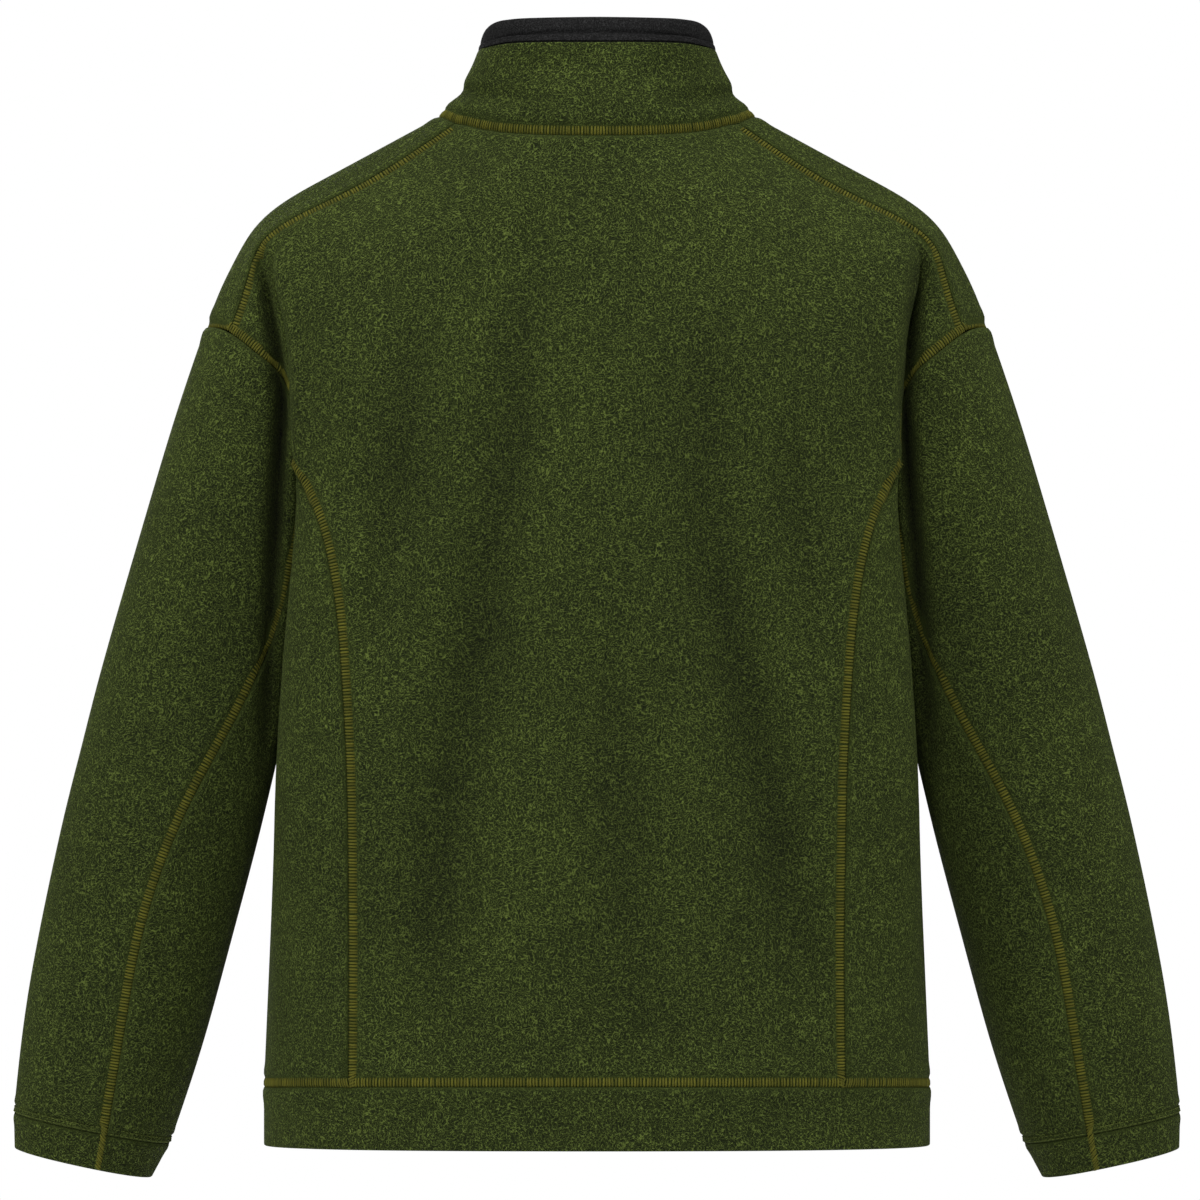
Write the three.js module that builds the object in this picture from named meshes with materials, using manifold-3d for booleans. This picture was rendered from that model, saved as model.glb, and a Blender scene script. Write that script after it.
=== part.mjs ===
// Fleece jacket, filled out as if worn, with a stand collar, dropped shoulders, princess seams on the
// back, two-piece sleeves, bound cuffs, a hem band and a full-length front zip.
// Millimetres. +Z is up, the back faces +Y, the front faces -Y and the wearer's left is +X.
// The origin lies between the high points of the shoulders, where the wearer carries the jacket.

import * as THREE from 'three';
import { mergeVertices } from 'three/addons/utils/BufferGeometryUtils.js';
import Module from 'manifold-3d';

const wasm = await Module();
wasm.setup();

// Driving sizes

const FLEECE = 2.5; // pile fleece of the body and sleeves
const DOUBLED = 3; // hem band and cuffs, folded double
const LINING = 2.2; // charcoal inner collar
const SEAM_GAP = 0.5; // daylight between two panels at a seam
const ZIP_OPENING = 10; // between the two front edges
const TAPE = 1; // thickness of the zip tape
const TAPE_BEHIND = 5.4; // tape hidden behind each front edge
const TAPE_GAP = 0.8; // between the tape and the cloth in front of it
const CHAIN_WIDTH = 5.8;
const CHAIN_THICK = 2.6;
const FRONT_X = ZIP_OPENING / 2;

// Numbers of quads across and down the panels

const COLUMNS = { pinchBack: 11, yokeSeam: 17, shoulder: 20, pinchFront: 27, front: 36 };
const UNDERARM_COLUMNS = 8;
const ROWS = { yoke: 10, torso: 13, hem: 2, sleeve: 14, cuff: 2, collar: 5 };

// Lines that run down the shoulder part of the left half, from the neck seam to the ring that passes
// over the sleeve cap at the armhole seam and round the chest at underarm height.
// Each row is one line, each named column its point at a fifth of the way down: neck, high, bend, low, ring.

const YOKE_ROWS = { neck: 0, high: 2.5, bend: 5, low: 7.5, ring: 10 };
const YOKE_LINES = [
  { line: 'centre back', column: 0,
    neck: [0, 75, -16], high: [0, 92, -62],
    bend: [0, 104, -112], low: [0, 111, -163], ring: [0, 114, -215] },
  { line: 'mid back', column: 4,
    neck: [40, 68, -15], high: [72, 85, -58],
    bend: [94, 98, -107], low: [99, 106, -161], ring: [97, 110, -215] },
  { line: 'outer back', column: 7,
    neck: [68, 51, -12], high: [116, 66, -54],
    bend: [164, 80, -100], low: [166, 92, -158], ring: [160, 98, -215] },
  { line: 'fold ridge', column: 9,
    neck: [80, 40, -9], high: [136, 52, -50],
    bend: [209, 56, -93], low: [205, 64, -148], ring: [201.5, 69, -215] },
  { line: 'back pinch', column: 11,
    neck: [86, 34, -7], high: [143, 45, -48],
    bend: [213, 47, -85], low: [199, 43, -138], ring: [196, 59, -209] },
  { line: 'cap under the fold', column: 13,
    neck: [90, 30, -6], high: [148, 40, -46],
    bend: [215, 43, -80], low: [212, 41, -124], ring: [207, 49, -173] },
  { line: 'cap', column: 15,
    neck: [92, 28, -5.5], high: [150, 38, -45],
    bend: [216, 41, -78], low: [221, 42, -115], ring: [223, 49, -159] },
  { line: 'yoke seam', column: 17,
    neck: [94, 26, -5], high: [153, 37, -44.5],
    bend: [217, 38, -77], low: [231, 36, -108], ring: [243, 34, -143] },
  { line: 'shoulder', column: 20,
    neck: [106, 3, 1], high: [163, 0, -29],
    bend: [219, -2, -61], low: [244, -4, -98], ring: [262, -5, -140] },
  { line: 'front cap', column: 23,
    neck: [102, -22, -7], high: [158, -40, -46],
    bend: [207, -46, -80], low: [230, -49, -116], ring: [243, -48, -151] },
  { line: 'front pinch', column: 27,
    neck: [92, -40, -20], high: [136, -64, -66],
    bend: [180, -72, -106], low: [189, -65, -156], ring: [189, -66, -210] },
  { line: 'front ridge', column: 29,
    neck: [82, -51, -31], high: [122, -76, -78],
    bend: [164, -86, -118], low: [188, -88, -166], ring: [196, -82, -216] },
  { line: 'mid front', column: 32,
    neck: [54, -68, -52], high: [80, -95, -95],
    bend: [102, -110, -134], low: [112, -117, -175], ring: [114, -120, -216] },
  { line: 'centre front', column: 36,
    neck: [FRONT_X, -77, -67], high: [FRONT_X, -100, -105], bend: [FRONT_X, -114, -141],
    low: [FRONT_X, -122, -178], ring: [FRONT_X, -126, -216] },
];

// The underarm line, from the back pinch to the front pinch, where body and sleeve part.
const UNDERARM_MIDDLE = [[177, 33, -214], [168, -4, -221], [174, -39, -217]];

// Torso sections: row, height, widest half width, half width beside the sleeve, depth to the back and to
// the front, squareness, how far the back rises above the sides, and how far off centre the princess
// seams lie.
const TORSO = [
  { row: 1, z: -232, widest: 202, side: 169, back: 115, front: 126,
    square: 3, lift: 0, seamBack: 199, seamFront: 191 },
  { row: 2, z: -252, widest: 204, side: 172, back: 116, front: 127,
    square: 3, lift: 0, seamBack: 188, seamFront: 183 },
  { row: 3, z: -277, widest: 207, side: 176.5, back: 117, front: 127,
    square: 3, lift: 0, seamBack: 179, seamFront: 178 },
  { row: 4.7, z: -325, widest: 211, side: 186, back: 118, front: 127,
    square: 2.9, lift: 0, seamBack: 170.5, seamFront: 173 },
  { row: 6.6, z: -389, widest: 215, side: 200, back: 118, front: 126,
    square: 2.8, lift: 0, seamBack: 165.5, seamFront: 169 },
  { row: 7.8, z: -430, widest: 216.5, side: 208.5, back: 118, front: 125,
    square: 2.7, lift: 1, seamBack: 163.5, seamFront: 168 },
  { row: 8.9, z: -470, widest: 216, side: 213, back: 117, front: 123,
    square: 2.6, lift: 2, seamBack: 162.5, seamFront: 167 },
  { row: 10.9, z: -549, widest: 218.5, side: 218, back: 117, front: 121,
    square: 2.5, lift: 5, seamBack: 162, seamFront: 166 },
  { row: 13, z: -644.4, widest: 222.5, side: 222.5, back: 118, front: 119,
    square: 2.5, lift: 7.7, seamBack: 162, seamFront: 166 },
];
const HEM = { z: -683, widest: 222.5, side: 222.5, back: 117, front: 118, square: 2.5, lift: 4,
  seamBack: 162, seamFront: 166 };
const RING_FADE = { top: -215, depth: 70 }; // below the ring, its column spacing goes over to an even one
const PRESSED = { least: 0.4, reach: 48 }; // thickness left at a pinch, and how far off it is whole again
const PINCH_GAP = 3; // how many times wider the seam gap gets where the cloth is pressed to nothing
const DENT = { half: 56, y: -6, power: 4 }; // the sleeve presses the side in over this half height

// Sleeve sections, square to the sleeve: row, outer and inner end, middle, half depths, and where the
// back and front seams lie as a share of the width from the inner end.
const SLEEVE = [
  { row: 1.1, outer: [275.5, -180], inner: [175, -245], y: -6, back: 60, front: 60,
    seamBack: 0.15, seamFront: 0.12 },
  { row: 2.4, outer: [290, -227], inner: [180.5, -277], y: -6, back: 62, front: 62,
    seamBack: 0.12, seamFront: 0.12 },
  { row: 3.9, outer: [306, -281], inner: [190, -325], y: -7, back: 61, front: 61,
    seamBack: 0.13, seamFront: 0.12 },
  { row: 6, outer: [329, -360], inner: [204, -389], y: -9, back: 59, front: 59,
    seamBack: 0.2, seamFront: 0.13 },
  { row: 8.15, outer: [350, -440], inner: [222.5, -470], y: -12, back: 57, front: 57,
    seamBack: 0.38, seamFront: 0.14 },
  { row: 10.3, outer: [368, -520], inner: [243.5, -549], y: -15, back: 53, front: 53,
    seamBack: 0.45, seamFront: 0.15 },
  { row: 12.4, outer: [383, -600], inner: [265, -627], y: -18, back: 49, front: 49,
    seamBack: 0.415, seamFront: 0.16 },
  { row: 14, outer: [389.5, -662], inner: [284.5, -683], y: -20, back: 45, front: 45,
    seamBack: 0.38, seamFront: 0.17 },
];
const CUFF = { outer: [389, -686], inner: [297, -706], y: -21, back: 42, front: 42,
  seamBack: 0.355, seamFront: 0.17 };
const SLEEVE_SQUARE = 2.3;

// Collar top edges of the left half, centre back to centre front, as shares of the way round.
const COLLAR_TOP = [
  { share: 0, green: [0, 66, 46], charcoal: [0, 61, 63] },
  { share: 0.17, green: [34, 62, 46.2], charcoal: [33, 57, 62.8] },
  { share: 0.32, green: [59, 49, 46.2], charcoal: [57, 47, 62.4] },
  { share: 0.41, green: [70.5, 36, 45.2], charcoal: [68, 36, 61] },
  { share: 0.55, green: [79.5, 8, 43], charcoal: [76.5, 8, 52.5] },
  { share: 0.66, green: [78, -15, 33], charcoal: [75, -15, 43] },
  { share: 0.78, green: [67, -40, 14], charcoal: [64, -38, 25] },
  { share: 0.89, green: [44, -58, -3], charcoal: [42, -55, 10] },
  { share: 1, green: [FRONT_X, -66, -12], charcoal: [FRONT_X, -63, 2] },
];

// How far each row of the green collar rolls out at the back, the share of that left at its sides, how far
// its sides draw in, and how far behind it the charcoal lining starts above the neck seam.
const COLLAR_ROLL = [0, 2.6, 3.2, 0.4, 0.6, 0];
const ROLL_AT_SIDES = 0.2;
const SIDES_DRAWN_IN = 2.2;
const LINING_FOOT = 0.25;
const LINING_CREST = { share: 0.72, out: 1.2 }; // the lining stands out a little just under its top edge
const BINDING_HEIGHT = 5.2;
const BINDING_START = 0.14; // share of its height left free over the green edge
const BINDING = 1.5;

// Soft folds: face, upper end, lower end, half width and depth. Each is a trough that fades at both ends,
// over a run beyond them that is a share of its length.
const FOLDS = [
  { face: 'back', from: [37, -70], to: [56, -225], half: 26, deep: 4 },
  { face: 'back', from: [54, -215], to: [108, -560], half: 30, deep: 7 },
  { face: 'back', from: [122, -130], to: [147, -345], half: 20, deep: 4 },
  { face: 'back', from: [-73, -170], to: [-76, -320], half: 26, deep: 4.5 },
  { face: 'back', from: [-74, -290], to: [-134, -570], half: 28, deep: 6.5 },
  { face: 'back', from: [-124, -210], to: [-140, -335], half: 18, deep: 3 },
  { face: 'back', from: [-22, -380], to: [-20, -630], half: 24, deep: 3 },
  { face: 'front', from: [78, -190], to: [92, -470], half: 26, deep: 5 },
  { face: 'front', from: [-84, -220], to: [-104, -520], half: 28, deep: 5.5 },
  { face: 'front', from: [126, -290], to: [138, -440], half: 18, deep: 3 },
  { face: 'front', from: [-134, -180], to: [-146, -330], half: 18, deep: 3.5 },
];
const FOLD_RUN_OUT = 0.15;
const FOLD_FADE = 0.8;
const FOLD_FACING = 20; // nearer the side of the body than this depth there are no folds

// Zip slider and pull tab
const SLIDER = { width: 8.4, height: 11, thick: 2.4, below: 6, corner: 2 };
const BRIDGE = { width: 1.6, thick: 1.2, clear: 2.2, up: 1.7, down: 2.1, z: 1.5, sunk: 0.4 };
const PULL = { width: 6.6, length: 23, thick: 1.3, bar: 1.3, window: 3.6, windowHeight: 4.4 };
const RETAINER = { height: 10, thick: 4.2, lift: 0.6 };

const GREEN = 0x3d5226;
const DARK_GREEN = 0x384b23;
const CHARCOAL = 0x2b2c2f;
const METAL = 0x4a4b4d;

// Small vector helpers on [x, y, z]

const add = (a, b) => [a[0] + b[0], a[1] + b[1], a[2] + b[2]];
const sub = (a, b) => [a[0] - b[0], a[1] - b[1], a[2] - b[2]];
const scale = (a, s) => [a[0] * s, a[1] * s, a[2] * s];
const dot = (a, b) => a[0] * b[0] + a[1] * b[1] + a[2] * b[2];
const cross = (a, b) => [a[1] * b[2] - a[2] * b[1], a[2] * b[0] - a[0] * b[2], a[0] * b[1] - a[1] * b[0]];
const length = (a) => Math.hypot(a[0], a[1], a[2]);
const unit = (a) => scale(a, 1 / (length(a) || 1));
const mix = (a, b, t) => add(scale(a, 1 - t), scale(b, t));

// A smooth curve through points at rising knots, read at t.
function spline(knots, points, t) {
  const last = knots.length - 1;
  let i = 0;
  while (i < last - 1 && t > knots[i + 1]) i += 1;
  const slope = (k) => {
    if (k === 0) return scale(sub(points[1], points[0]), 1 / (knots[1] - knots[0]));
    if (k === last) return scale(sub(points[last], points[last - 1]), 1 / (knots[last] - knots[last - 1]));
    const before = knots[k] - knots[k - 1];
    const after = knots[k + 1] - knots[k];
    const into = scale(sub(points[k], points[k - 1]), 1 / before);
    const out = scale(sub(points[k + 1], points[k]), 1 / after);
    return add(scale(into, after / (before + after)), scale(out, before / (before + after)));
  };
  const span = knots[i + 1] - knots[i];
  const s = (t - knots[i]) / span;
  const value = add(
    scale(points[i], (1 + 2 * s) * (1 - s) * (1 - s)),
    scale(points[i + 1], s * s * (3 - 2 * s)),
  );
  const bend = add(
    scale(slope(i), s * (1 - s) * (1 - s) * span),
    scale(slope(i + 1), -s * s * (1 - s) * span),
  );
  return add(value, bend);
}

// A polyline that can be read at a share of its length.
function measured(points) {
  const along = [0];
  for (let i = 1; i < points.length; i += 1) along.push(along[i - 1] + length(sub(points[i], points[i - 1])));
  const total = along[along.length - 1];
  const at = (share) => {
    const wanted = share * total;
    let i = 1;
    while (i < points.length - 1 && along[i] < wanted) i += 1;
    const t = (wanted - along[i - 1]) / (along[i] - along[i - 1]);
    return mix(points[i - 1], points[i], t);
  };
  return { at, shares: along.map((d) => d / total) };
}

const SECTION_STEPS = 240;
const SECTION_PASSES = 12; // widenings that bring a dented section back to its full width
const SHARE_STEPS = 600;
const EDGE_STEP = 0.0005;
const FACE_DEPTH = 46; // a section's back and front lie beyond this depth

// Half of a torso section, centre back to centre front, pressed in where the sleeve hangs.
function torsoSection(s) {
  let wide = s.widest;
  let points = [];
  for (let pass = 0; pass < SECTION_PASSES; pass += 1) {
    const dent = wide - s.side;
    points = [];
    let reach = 0;
    for (let i = 0; i <= SECTION_STEPS; i += 1) {
      const angle = Math.PI * (0.5 - i / SECTION_STEPS);
      const depth = angle > 0 ? s.back : s.front;
      const y = Math.sign(angle) * depth * Math.abs(Math.sin(angle)) ** (2 / s.square);
      const plain = wide * Math.max(Math.cos(angle), 0) ** (2 / s.square);
      const x = plain - dent * Math.exp(-((Math.abs(y - DENT.y) / DENT.half) ** DENT.power));
      reach = Math.max(reach, x);
      const rise = s.lift * Math.max(y / s.back, 0);
      points.push([Math.max(x, 0), y, s.z + rise]);
    }
    if (s.side < s.widest) wide *= s.widest / reach;
  }
  return measured(points);
}

// The share of a section at which it is x from the centre, found on the back or the front.
function shareAt(section, x, face) {
  let best = 0;
  let miss = Infinity;
  for (let i = 0; i <= SHARE_STEPS; i += 1) {
    const share = i / SHARE_STEPS;
    const p = section.at(share);
    const right = face === 'back' ? p[1] > FACE_DEPTH : p[1] < -FACE_DEPTH;
    if (right && Math.abs(p[0] - x) < miss) {
      miss = Math.abs(p[0] - x);
      best = share;
    }
  }
  return best;
}

const torsoOrder = COLUMNS.pinchBack + UNDERARM_COLUMNS + COLUMNS.front - COLUMNS.pinchFront;

// Points of one torso ring in the order back columns, underarm columns, front columns.
function torsoRing(s) {
  const section = torsoSection(s);
  const seamBack = shareAt(section, s.seamBack, 'back');
  const seamFront = shareAt(section, s.seamFront, 'front');
  let open = 1;
  while (section.at(open)[0] < FRONT_X) open -= EDGE_STEP;
  const frontColumns = COLUMNS.front - COLUMNS.pinchFront;
  const even = 1 - Math.exp((s.z - RING_FADE.top) / RING_FADE.depth);
  const spaced = (share, evenShare) => share * (1 - even) + evenShare * even;
  const ring = [];
  for (let i = 0; i <= torsoOrder; i += 1) {
    const front = i - COLUMNS.pinchBack - UNDERARM_COLUMNS;
    let share;
    if (i <= COLUMNS.pinchBack) {
      share = seamBack * spaced(ringShares.back[i], i / COLUMNS.pinchBack);
    } else if (front <= 0) {
      share = seamBack + ((seamFront - seamBack) * (i - COLUMNS.pinchBack)) / UNDERARM_COLUMNS;
    } else {
      share = seamFront + (open - seamFront) * spaced(ringShares.front[front], front / frontColumns);
    }
    ring.push(section.at(share));
  }
  ring[torsoOrder][0] = FRONT_X;
  return ring;
}

// Points of one sleeve ring: over the arm from back seam to front seam, then under it and back again.
function sleeveRing(s) {
  const outer = [s.outer[0], 0, s.outer[1]];
  const inner = [s.inner[0], 0, s.inner[1]];
  const centre = mix(outer, inner, 0.5);
  const half = sub(outer, centre);
  const point = (angle) => {
    const across = Math.sign(Math.cos(angle)) * Math.abs(Math.cos(angle)) ** (2 / SLEEVE_SQUARE);
    const deep = Math.sign(Math.sin(angle)) * Math.abs(Math.sin(angle)) ** (2 / SLEEVE_SQUARE);
    const reach = deep > 0 ? s.back : s.front;
    return add(add(centre, scale(half, across)), [0, s.y + deep * reach, 0]);
  };
  const arc = (from, to) => {
    const points = [];
    for (let i = 0; i <= SECTION_STEPS; i += 1) points.push(point(from + ((to - from) * i) / SECTION_STEPS));
    return measured(points);
  };
  const angleOf = (share) => {
    const across = 2 * share - 1;
    return Math.acos(Math.sign(across) * Math.abs(across) ** (SLEEVE_SQUARE / 2));
  };
  const back = angleOf(s.seamBack);
  const front = angleOf(s.seamFront);
  const ring = [];
  const toShoulder = arc(back, 0);
  const toFront = arc(0, -front);
  const under = arc(-front, back - 2 * Math.PI);
  const cap = COLUMNS.shoulder - COLUMNS.pinchBack;
  const fore = COLUMNS.pinchFront - COLUMNS.shoulder;
  for (let i = 0; i < cap; i += 1) ring.push(toShoulder.at(i / cap));
  for (let i = 0; i < fore; i += 1) ring.push(toFront.at(i / fore));
  for (let i = 0; i < UNDERARM_COLUMNS; i += 1) ring.push(under.at(i / UNDERARM_COLUMNS));
  return ring;
}

// The net of the whole garment. A point is known by its patch, row, column and side.

const net = { points: [], ids: new Map(), cells: [], normals: [] };

function put(key, point) {
  net.ids.set(key, net.points.length);
  net.points.push(point);
}

const SIDES = [{ name: 'left', sign: 1 }, { name: 'right', sign: -1 }];
const key = (patch, row, column, side) => `${patch} ${row} ${column} ${side}`;

function place(patch, row, column, point) {
  SIDES.forEach(({ name, sign }) => {
    put(key(patch, row, column, name), [point[0] * sign, point[1], point[2]]);
  });
}

function same(patch, row, column, from) {
  SIDES.forEach(({ name }) => {
    net.ids.set(key(patch, row, column, name), net.ids.get(key(from[0], from[1], from[2], name)));
  });
}

function centreBack(patch, row, point) {
  put(key(patch, row, 0, 'left'), [0, point[1], point[2]]);
  net.ids.set(key(patch, row, 0, 'right'), net.ids.get(key(patch, row, 0, 'left')));
}

const yokeColumns = YOKE_LINES.map((l) => l.column);
const yokeStations = Object.keys(YOKE_ROWS).map((name) => ({
  row: YOKE_ROWS[name],
  at: (column) => spline(yokeColumns, YOKE_LINES.map((l) => l[name]), column),
}));
const ringStation = yokeStations[yokeStations.length - 1];
const ringSpan = (from, to) => {
  const points = [];
  for (let column = from; column <= to; column += 1) points.push(ringStation.at(column));
  return measured(points).shares;
};
const ringShares = {
  back: ringSpan(0, COLUMNS.pinchBack),
  front: ringSpan(COLUMNS.pinchFront, COLUMNS.front),
};
const torsoStations = TORSO.map((s) => ({ row: ROWS.yoke + s.row, ring: torsoRing(s) }));
const sleeveStations = SLEEVE.map((s) => ({ row: ROWS.yoke + s.row, ring: sleeveRing(s) }));

const underarmPoints = [
  ringStation.at(COLUMNS.pinchBack),
  ...UNDERARM_MIDDLE,
  ringStation.at(COLUMNS.pinchFront),
];
const underarmKnots = underarmPoints.map((p, i) => (UNDERARM_COLUMNS * i) / (underarmPoints.length - 1));
const underarmAt = (i) => spline(underarmKnots, underarmPoints, i);

// Body columns run from the neck or the underarm line down to the hem seam.
function bodyLine(order) {
  const knots = [];
  const points = [];
  const front = order - COLUMNS.pinchBack - UNDERARM_COLUMNS;
  const column = order <= COLUMNS.pinchBack ? order : COLUMNS.pinchFront + front;
  if (order <= COLUMNS.pinchBack || front >= 0) {
    yokeStations.forEach((s) => {
      knots.push(s.row);
      points.push(s.at(column));
    });
  } else {
    knots.push(ROWS.yoke);
    points.push(underarmAt(order - COLUMNS.pinchBack));
  }
  torsoStations.forEach((s) => {
    knots.push(s.row);
    points.push(s.ring[order]);
  });
  return (row) => spline(knots, points, row);
}

// Sleeve columns run from the neck or the underarm line out to the cuff seam.
function sleeveLine(order) {
  const knots = [];
  const points = [];
  const column = COLUMNS.pinchBack + order;
  if (column <= COLUMNS.pinchFront) {
    yokeStations.forEach((s) => {
      knots.push(s.row);
      points.push(s.at(column));
    });
  } else {
    knots.push(ROWS.yoke);
    points.push(underarmAt(UNDERARM_COLUMNS - (column - COLUMNS.pinchFront)));
  }
  sleeveStations.forEach((s) => {
    knots.push(s.row);
    points.push(s.ring[order]);
  });
  return (row) => spline(knots, points, row);
}

const sleeveOrder = COLUMNS.pinchFront - COLUMNS.pinchBack + UNDERARM_COLUMNS;

// Yoke, torso and hem points
for (let order = 0; order <= torsoOrder; order += 1) {
  const line = bodyLine(order);
  const under = order > COLUMNS.pinchBack && order < COLUMNS.pinchBack + UNDERARM_COLUMNS;
  const front = order - COLUMNS.pinchBack - UNDERARM_COLUMNS;
  const column = order <= COLUMNS.pinchBack ? order : COLUMNS.pinchFront + front;
  const firstRow = under ? ROWS.yoke : 0;
  for (let row = firstRow; row <= ROWS.yoke + ROWS.torso; row += 1) {
    const patch = row <= ROWS.yoke && !under ? 'yoke' : 'torso';
    const at = patch === 'yoke' ? column : order;
    if (order === 0) centreBack(patch, row, line(row));
    else place(patch, row, at, line(row));
    if (patch === 'yoke' && row === ROWS.yoke) same('torso', row, order, ['yoke', row, column]);
  }
}
const hemRing = torsoRing(HEM);
for (let order = 0; order <= torsoOrder; order += 1) {
  const line = bodyLine(order);
  const seam = line(ROWS.yoke + ROWS.torso);
  same('hem', 0, order, ['torso', ROWS.yoke + ROWS.torso, order]);
  for (let row = 1; row <= ROWS.hem; row += 1) {
    const point = mix(seam, hemRing[order], row / ROWS.hem);
    if (order === 0) centreBack('hem', row, point);
    else place('hem', row, order, point);
  }
}

// Shoulder and sleeve points
for (let order = 1; order < sleeveOrder; order += 1) {
  const column = COLUMNS.pinchBack + order;
  const line = sleeveLine(order);
  if (column < COLUMNS.pinchFront) {
    for (let row = 0; row <= ROWS.yoke; row += 1) place('yoke', row, column, line(row));
  }
}
const cuffRing = sleeveRing(CUFF);
for (let order = 0; order < sleeveOrder; order += 1) {
  const column = COLUMNS.pinchBack + order;
  const line = sleeveLine(order);
  const under = COLUMNS.pinchBack + UNDERARM_COLUMNS - (column - COLUMNS.pinchFront);
  if (column <= COLUMNS.pinchFront) same('sleeve', 0, order, ['yoke', ROWS.yoke, column]);
  else same('sleeve', 0, order, ['torso', ROWS.yoke, under]);
  for (let row = 1; row <= ROWS.sleeve; row += 1) place('sleeve', row, order, line(ROWS.yoke + row));
  same('cuff', 0, order, ['sleeve', ROWS.sleeve, order]);
  const seam = line(ROWS.yoke + ROWS.sleeve);
  for (let row = 1; row <= ROWS.cuff; row += 1) {
    place('cuff', row, order, mix(seam, cuffRing[order], row / ROWS.cuff));
  }
}

// Collar points, upwards from the neck seam
const neckLine = [];
for (let column = 0; column <= COLUMNS.front; column += 1) {
  neckLine.push(net.points[net.ids.get(key('yoke', 0, column, 'left'))]);
}
const neckShares = measured(neckLine).shares;
const topShares = COLLAR_TOP.map((t) => t.share);
const greenTop = neckShares.map((share) => spline(topShares, COLLAR_TOP.map((t) => t.green), share));
const charcoalTop = neckShares.map((share) => spline(topShares, COLLAR_TOP.map((t) => t.charcoal), share));
for (let column = 0; column <= COLUMNS.front; column += 1) {
  same('collar', 0, column, ['yoke', 0, column]);
  const away = unit([greenTop[column][0], greenTop[column][1], 0]);
  const atBack = away[1] * away[1];
  const puff = ROLL_AT_SIDES + (1 - ROLL_AT_SIDES) * atBack;
  for (let row = 1; row <= ROWS.collar; row += 1) {
    const straight = mix(neckLine[column], greenTop[column], row / ROWS.collar);
    const inward = -SIDES_DRAWN_IN * Math.sin((Math.PI * row) / ROWS.collar) * (1 - atBack);
    const point = add(straight, scale(away, COLLAR_ROLL[row] * puff + inward));
    if (column === COLUMNS.front) point[0] = FRONT_X;
    if (column === 0) centreBack('collar', row, point);
    else place('collar', row, column, point);
  }
}

// Cells: four points each, counter-clockwise seen from outside, tagged with their panel.
function cells(patch, rows, columns, panelOf, options = {}) {
  const around = (column) => (options.round ? column % options.round : column);
  SIDES.forEach(({ name }) => {
    for (let row = rows[0]; row < rows[1]; row += 1) {
      for (let column = columns[0]; column < columns[1]; column += 1) {
        const corners = [[row, column], [row, column + 1], [row + 1, column + 1], [row + 1, column]];
        const ids = corners.map(([r, c]) => net.ids.get(key(patch, r, around(c), name)));
        if ((name === 'right') !== Boolean(options.upward)) ids.reverse();
        net.cells.push({ panel: panelOf(column, name), ids });
      }
    }
  });
}

const seamSleeve = COLUMNS.pinchFront - COLUMNS.pinchBack;
cells('yoke', [0, ROWS.yoke], [0, COLUMNS.front], (column, side) => (
  column < COLUMNS.yokeSeam ? 'back_panel' : `front_${side}`));
cells('torso', [ROWS.yoke, ROWS.yoke + ROWS.torso], [0, torsoOrder], (column, side) => {
  if (column < COLUMNS.pinchBack) return 'back_panel';
  return column < COLUMNS.pinchBack + UNDERARM_COLUMNS ? `side_panel_${side}` : `front_${side}`;
});
cells('hem', [0, ROWS.hem], [0, torsoOrder], () => 'hem_band');
cells('sleeve', [0, ROWS.sleeve], [0, sleeveOrder], (column, side) => (
  column < seamSleeve ? `sleeve_upper_${side}` : `sleeve_under_${side}`), { round: sleeveOrder });
cells('cuff', [0, ROWS.cuff], [0, sleeveOrder], (column, side) => `cuff_${side}`, { round: sleeveOrder });
cells('collar', [0, ROWS.collar], [0, COLUMNS.front], () => 'collar_outer', { upward: true });

// Unit normals of a net, each the sum of its cells' areas.
function netNormals(points, list) {
  const normals = points.map(() => [0, 0, 0]);
  list.forEach(({ ids }) => {
    const [a, b, c, d] = ids.map((i) => points[i]);
    const n = cross(sub(c, a), sub(d, b));
    ids.forEach((i) => { normals[i] = add(normals[i], n); });
  });
  return normals.map(unit);
}

// How deep the folds are at a point of the body.
function foldDepth(p) {
  let deep = 0;
  FOLDS.forEach((fold) => {
    const facing = fold.face === 'back' ? p[1] > FOLD_FACING : p[1] < -FOLD_FACING;
    if (!facing) return;
    const t = (fold.from[1] - p[2]) / (fold.from[1] - fold.to[1]);
    if (t < -FOLD_RUN_OUT || t > 1 + FOLD_RUN_OUT) return;
    const x = fold.from[0] + (fold.to[0] - fold.from[0]) * t;
    const fade = Math.sin((Math.PI * (t + FOLD_RUN_OUT)) / (1 + 2 * FOLD_RUN_OUT)) ** FOLD_FADE;
    deep += fold.deep * fade * Math.exp(-(((p[0] - x) / fold.half) ** 2));
  });
  return deep;
}

net.normals = netNormals(net.points, net.cells);
const folded = new Set();
['yoke', 'torso', 'hem'].forEach((patch) => {
  net.ids.forEach((id, name) => {
    if (name.startsWith(patch)) folded.add(id);
  });
});
folded.forEach((id) => {
  const p = net.points[id];
  if (Math.abs(p[0]) <= FRONT_X && p[1] < 0) return;
  net.points[id] = sub(p, scale(net.normals[id], foldDepth(p)));
});
net.points.forEach((p) => { if (Math.abs(p[0]) < 1e-6) p[0] = 0; });
net.normals = netNormals(net.points, net.cells);

// Turns flat lists of points and triangles into a geometry.
function geometryOf(points, triangles) {
  const geometry = new THREE.BufferGeometry();
  geometry.setAttribute('position', new THREE.Float32BufferAttribute(points.flat(), 3));
  geometry.setIndex(triangles.flat());
  geometry.computeVertexNormals();
  return geometry;
}

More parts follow.
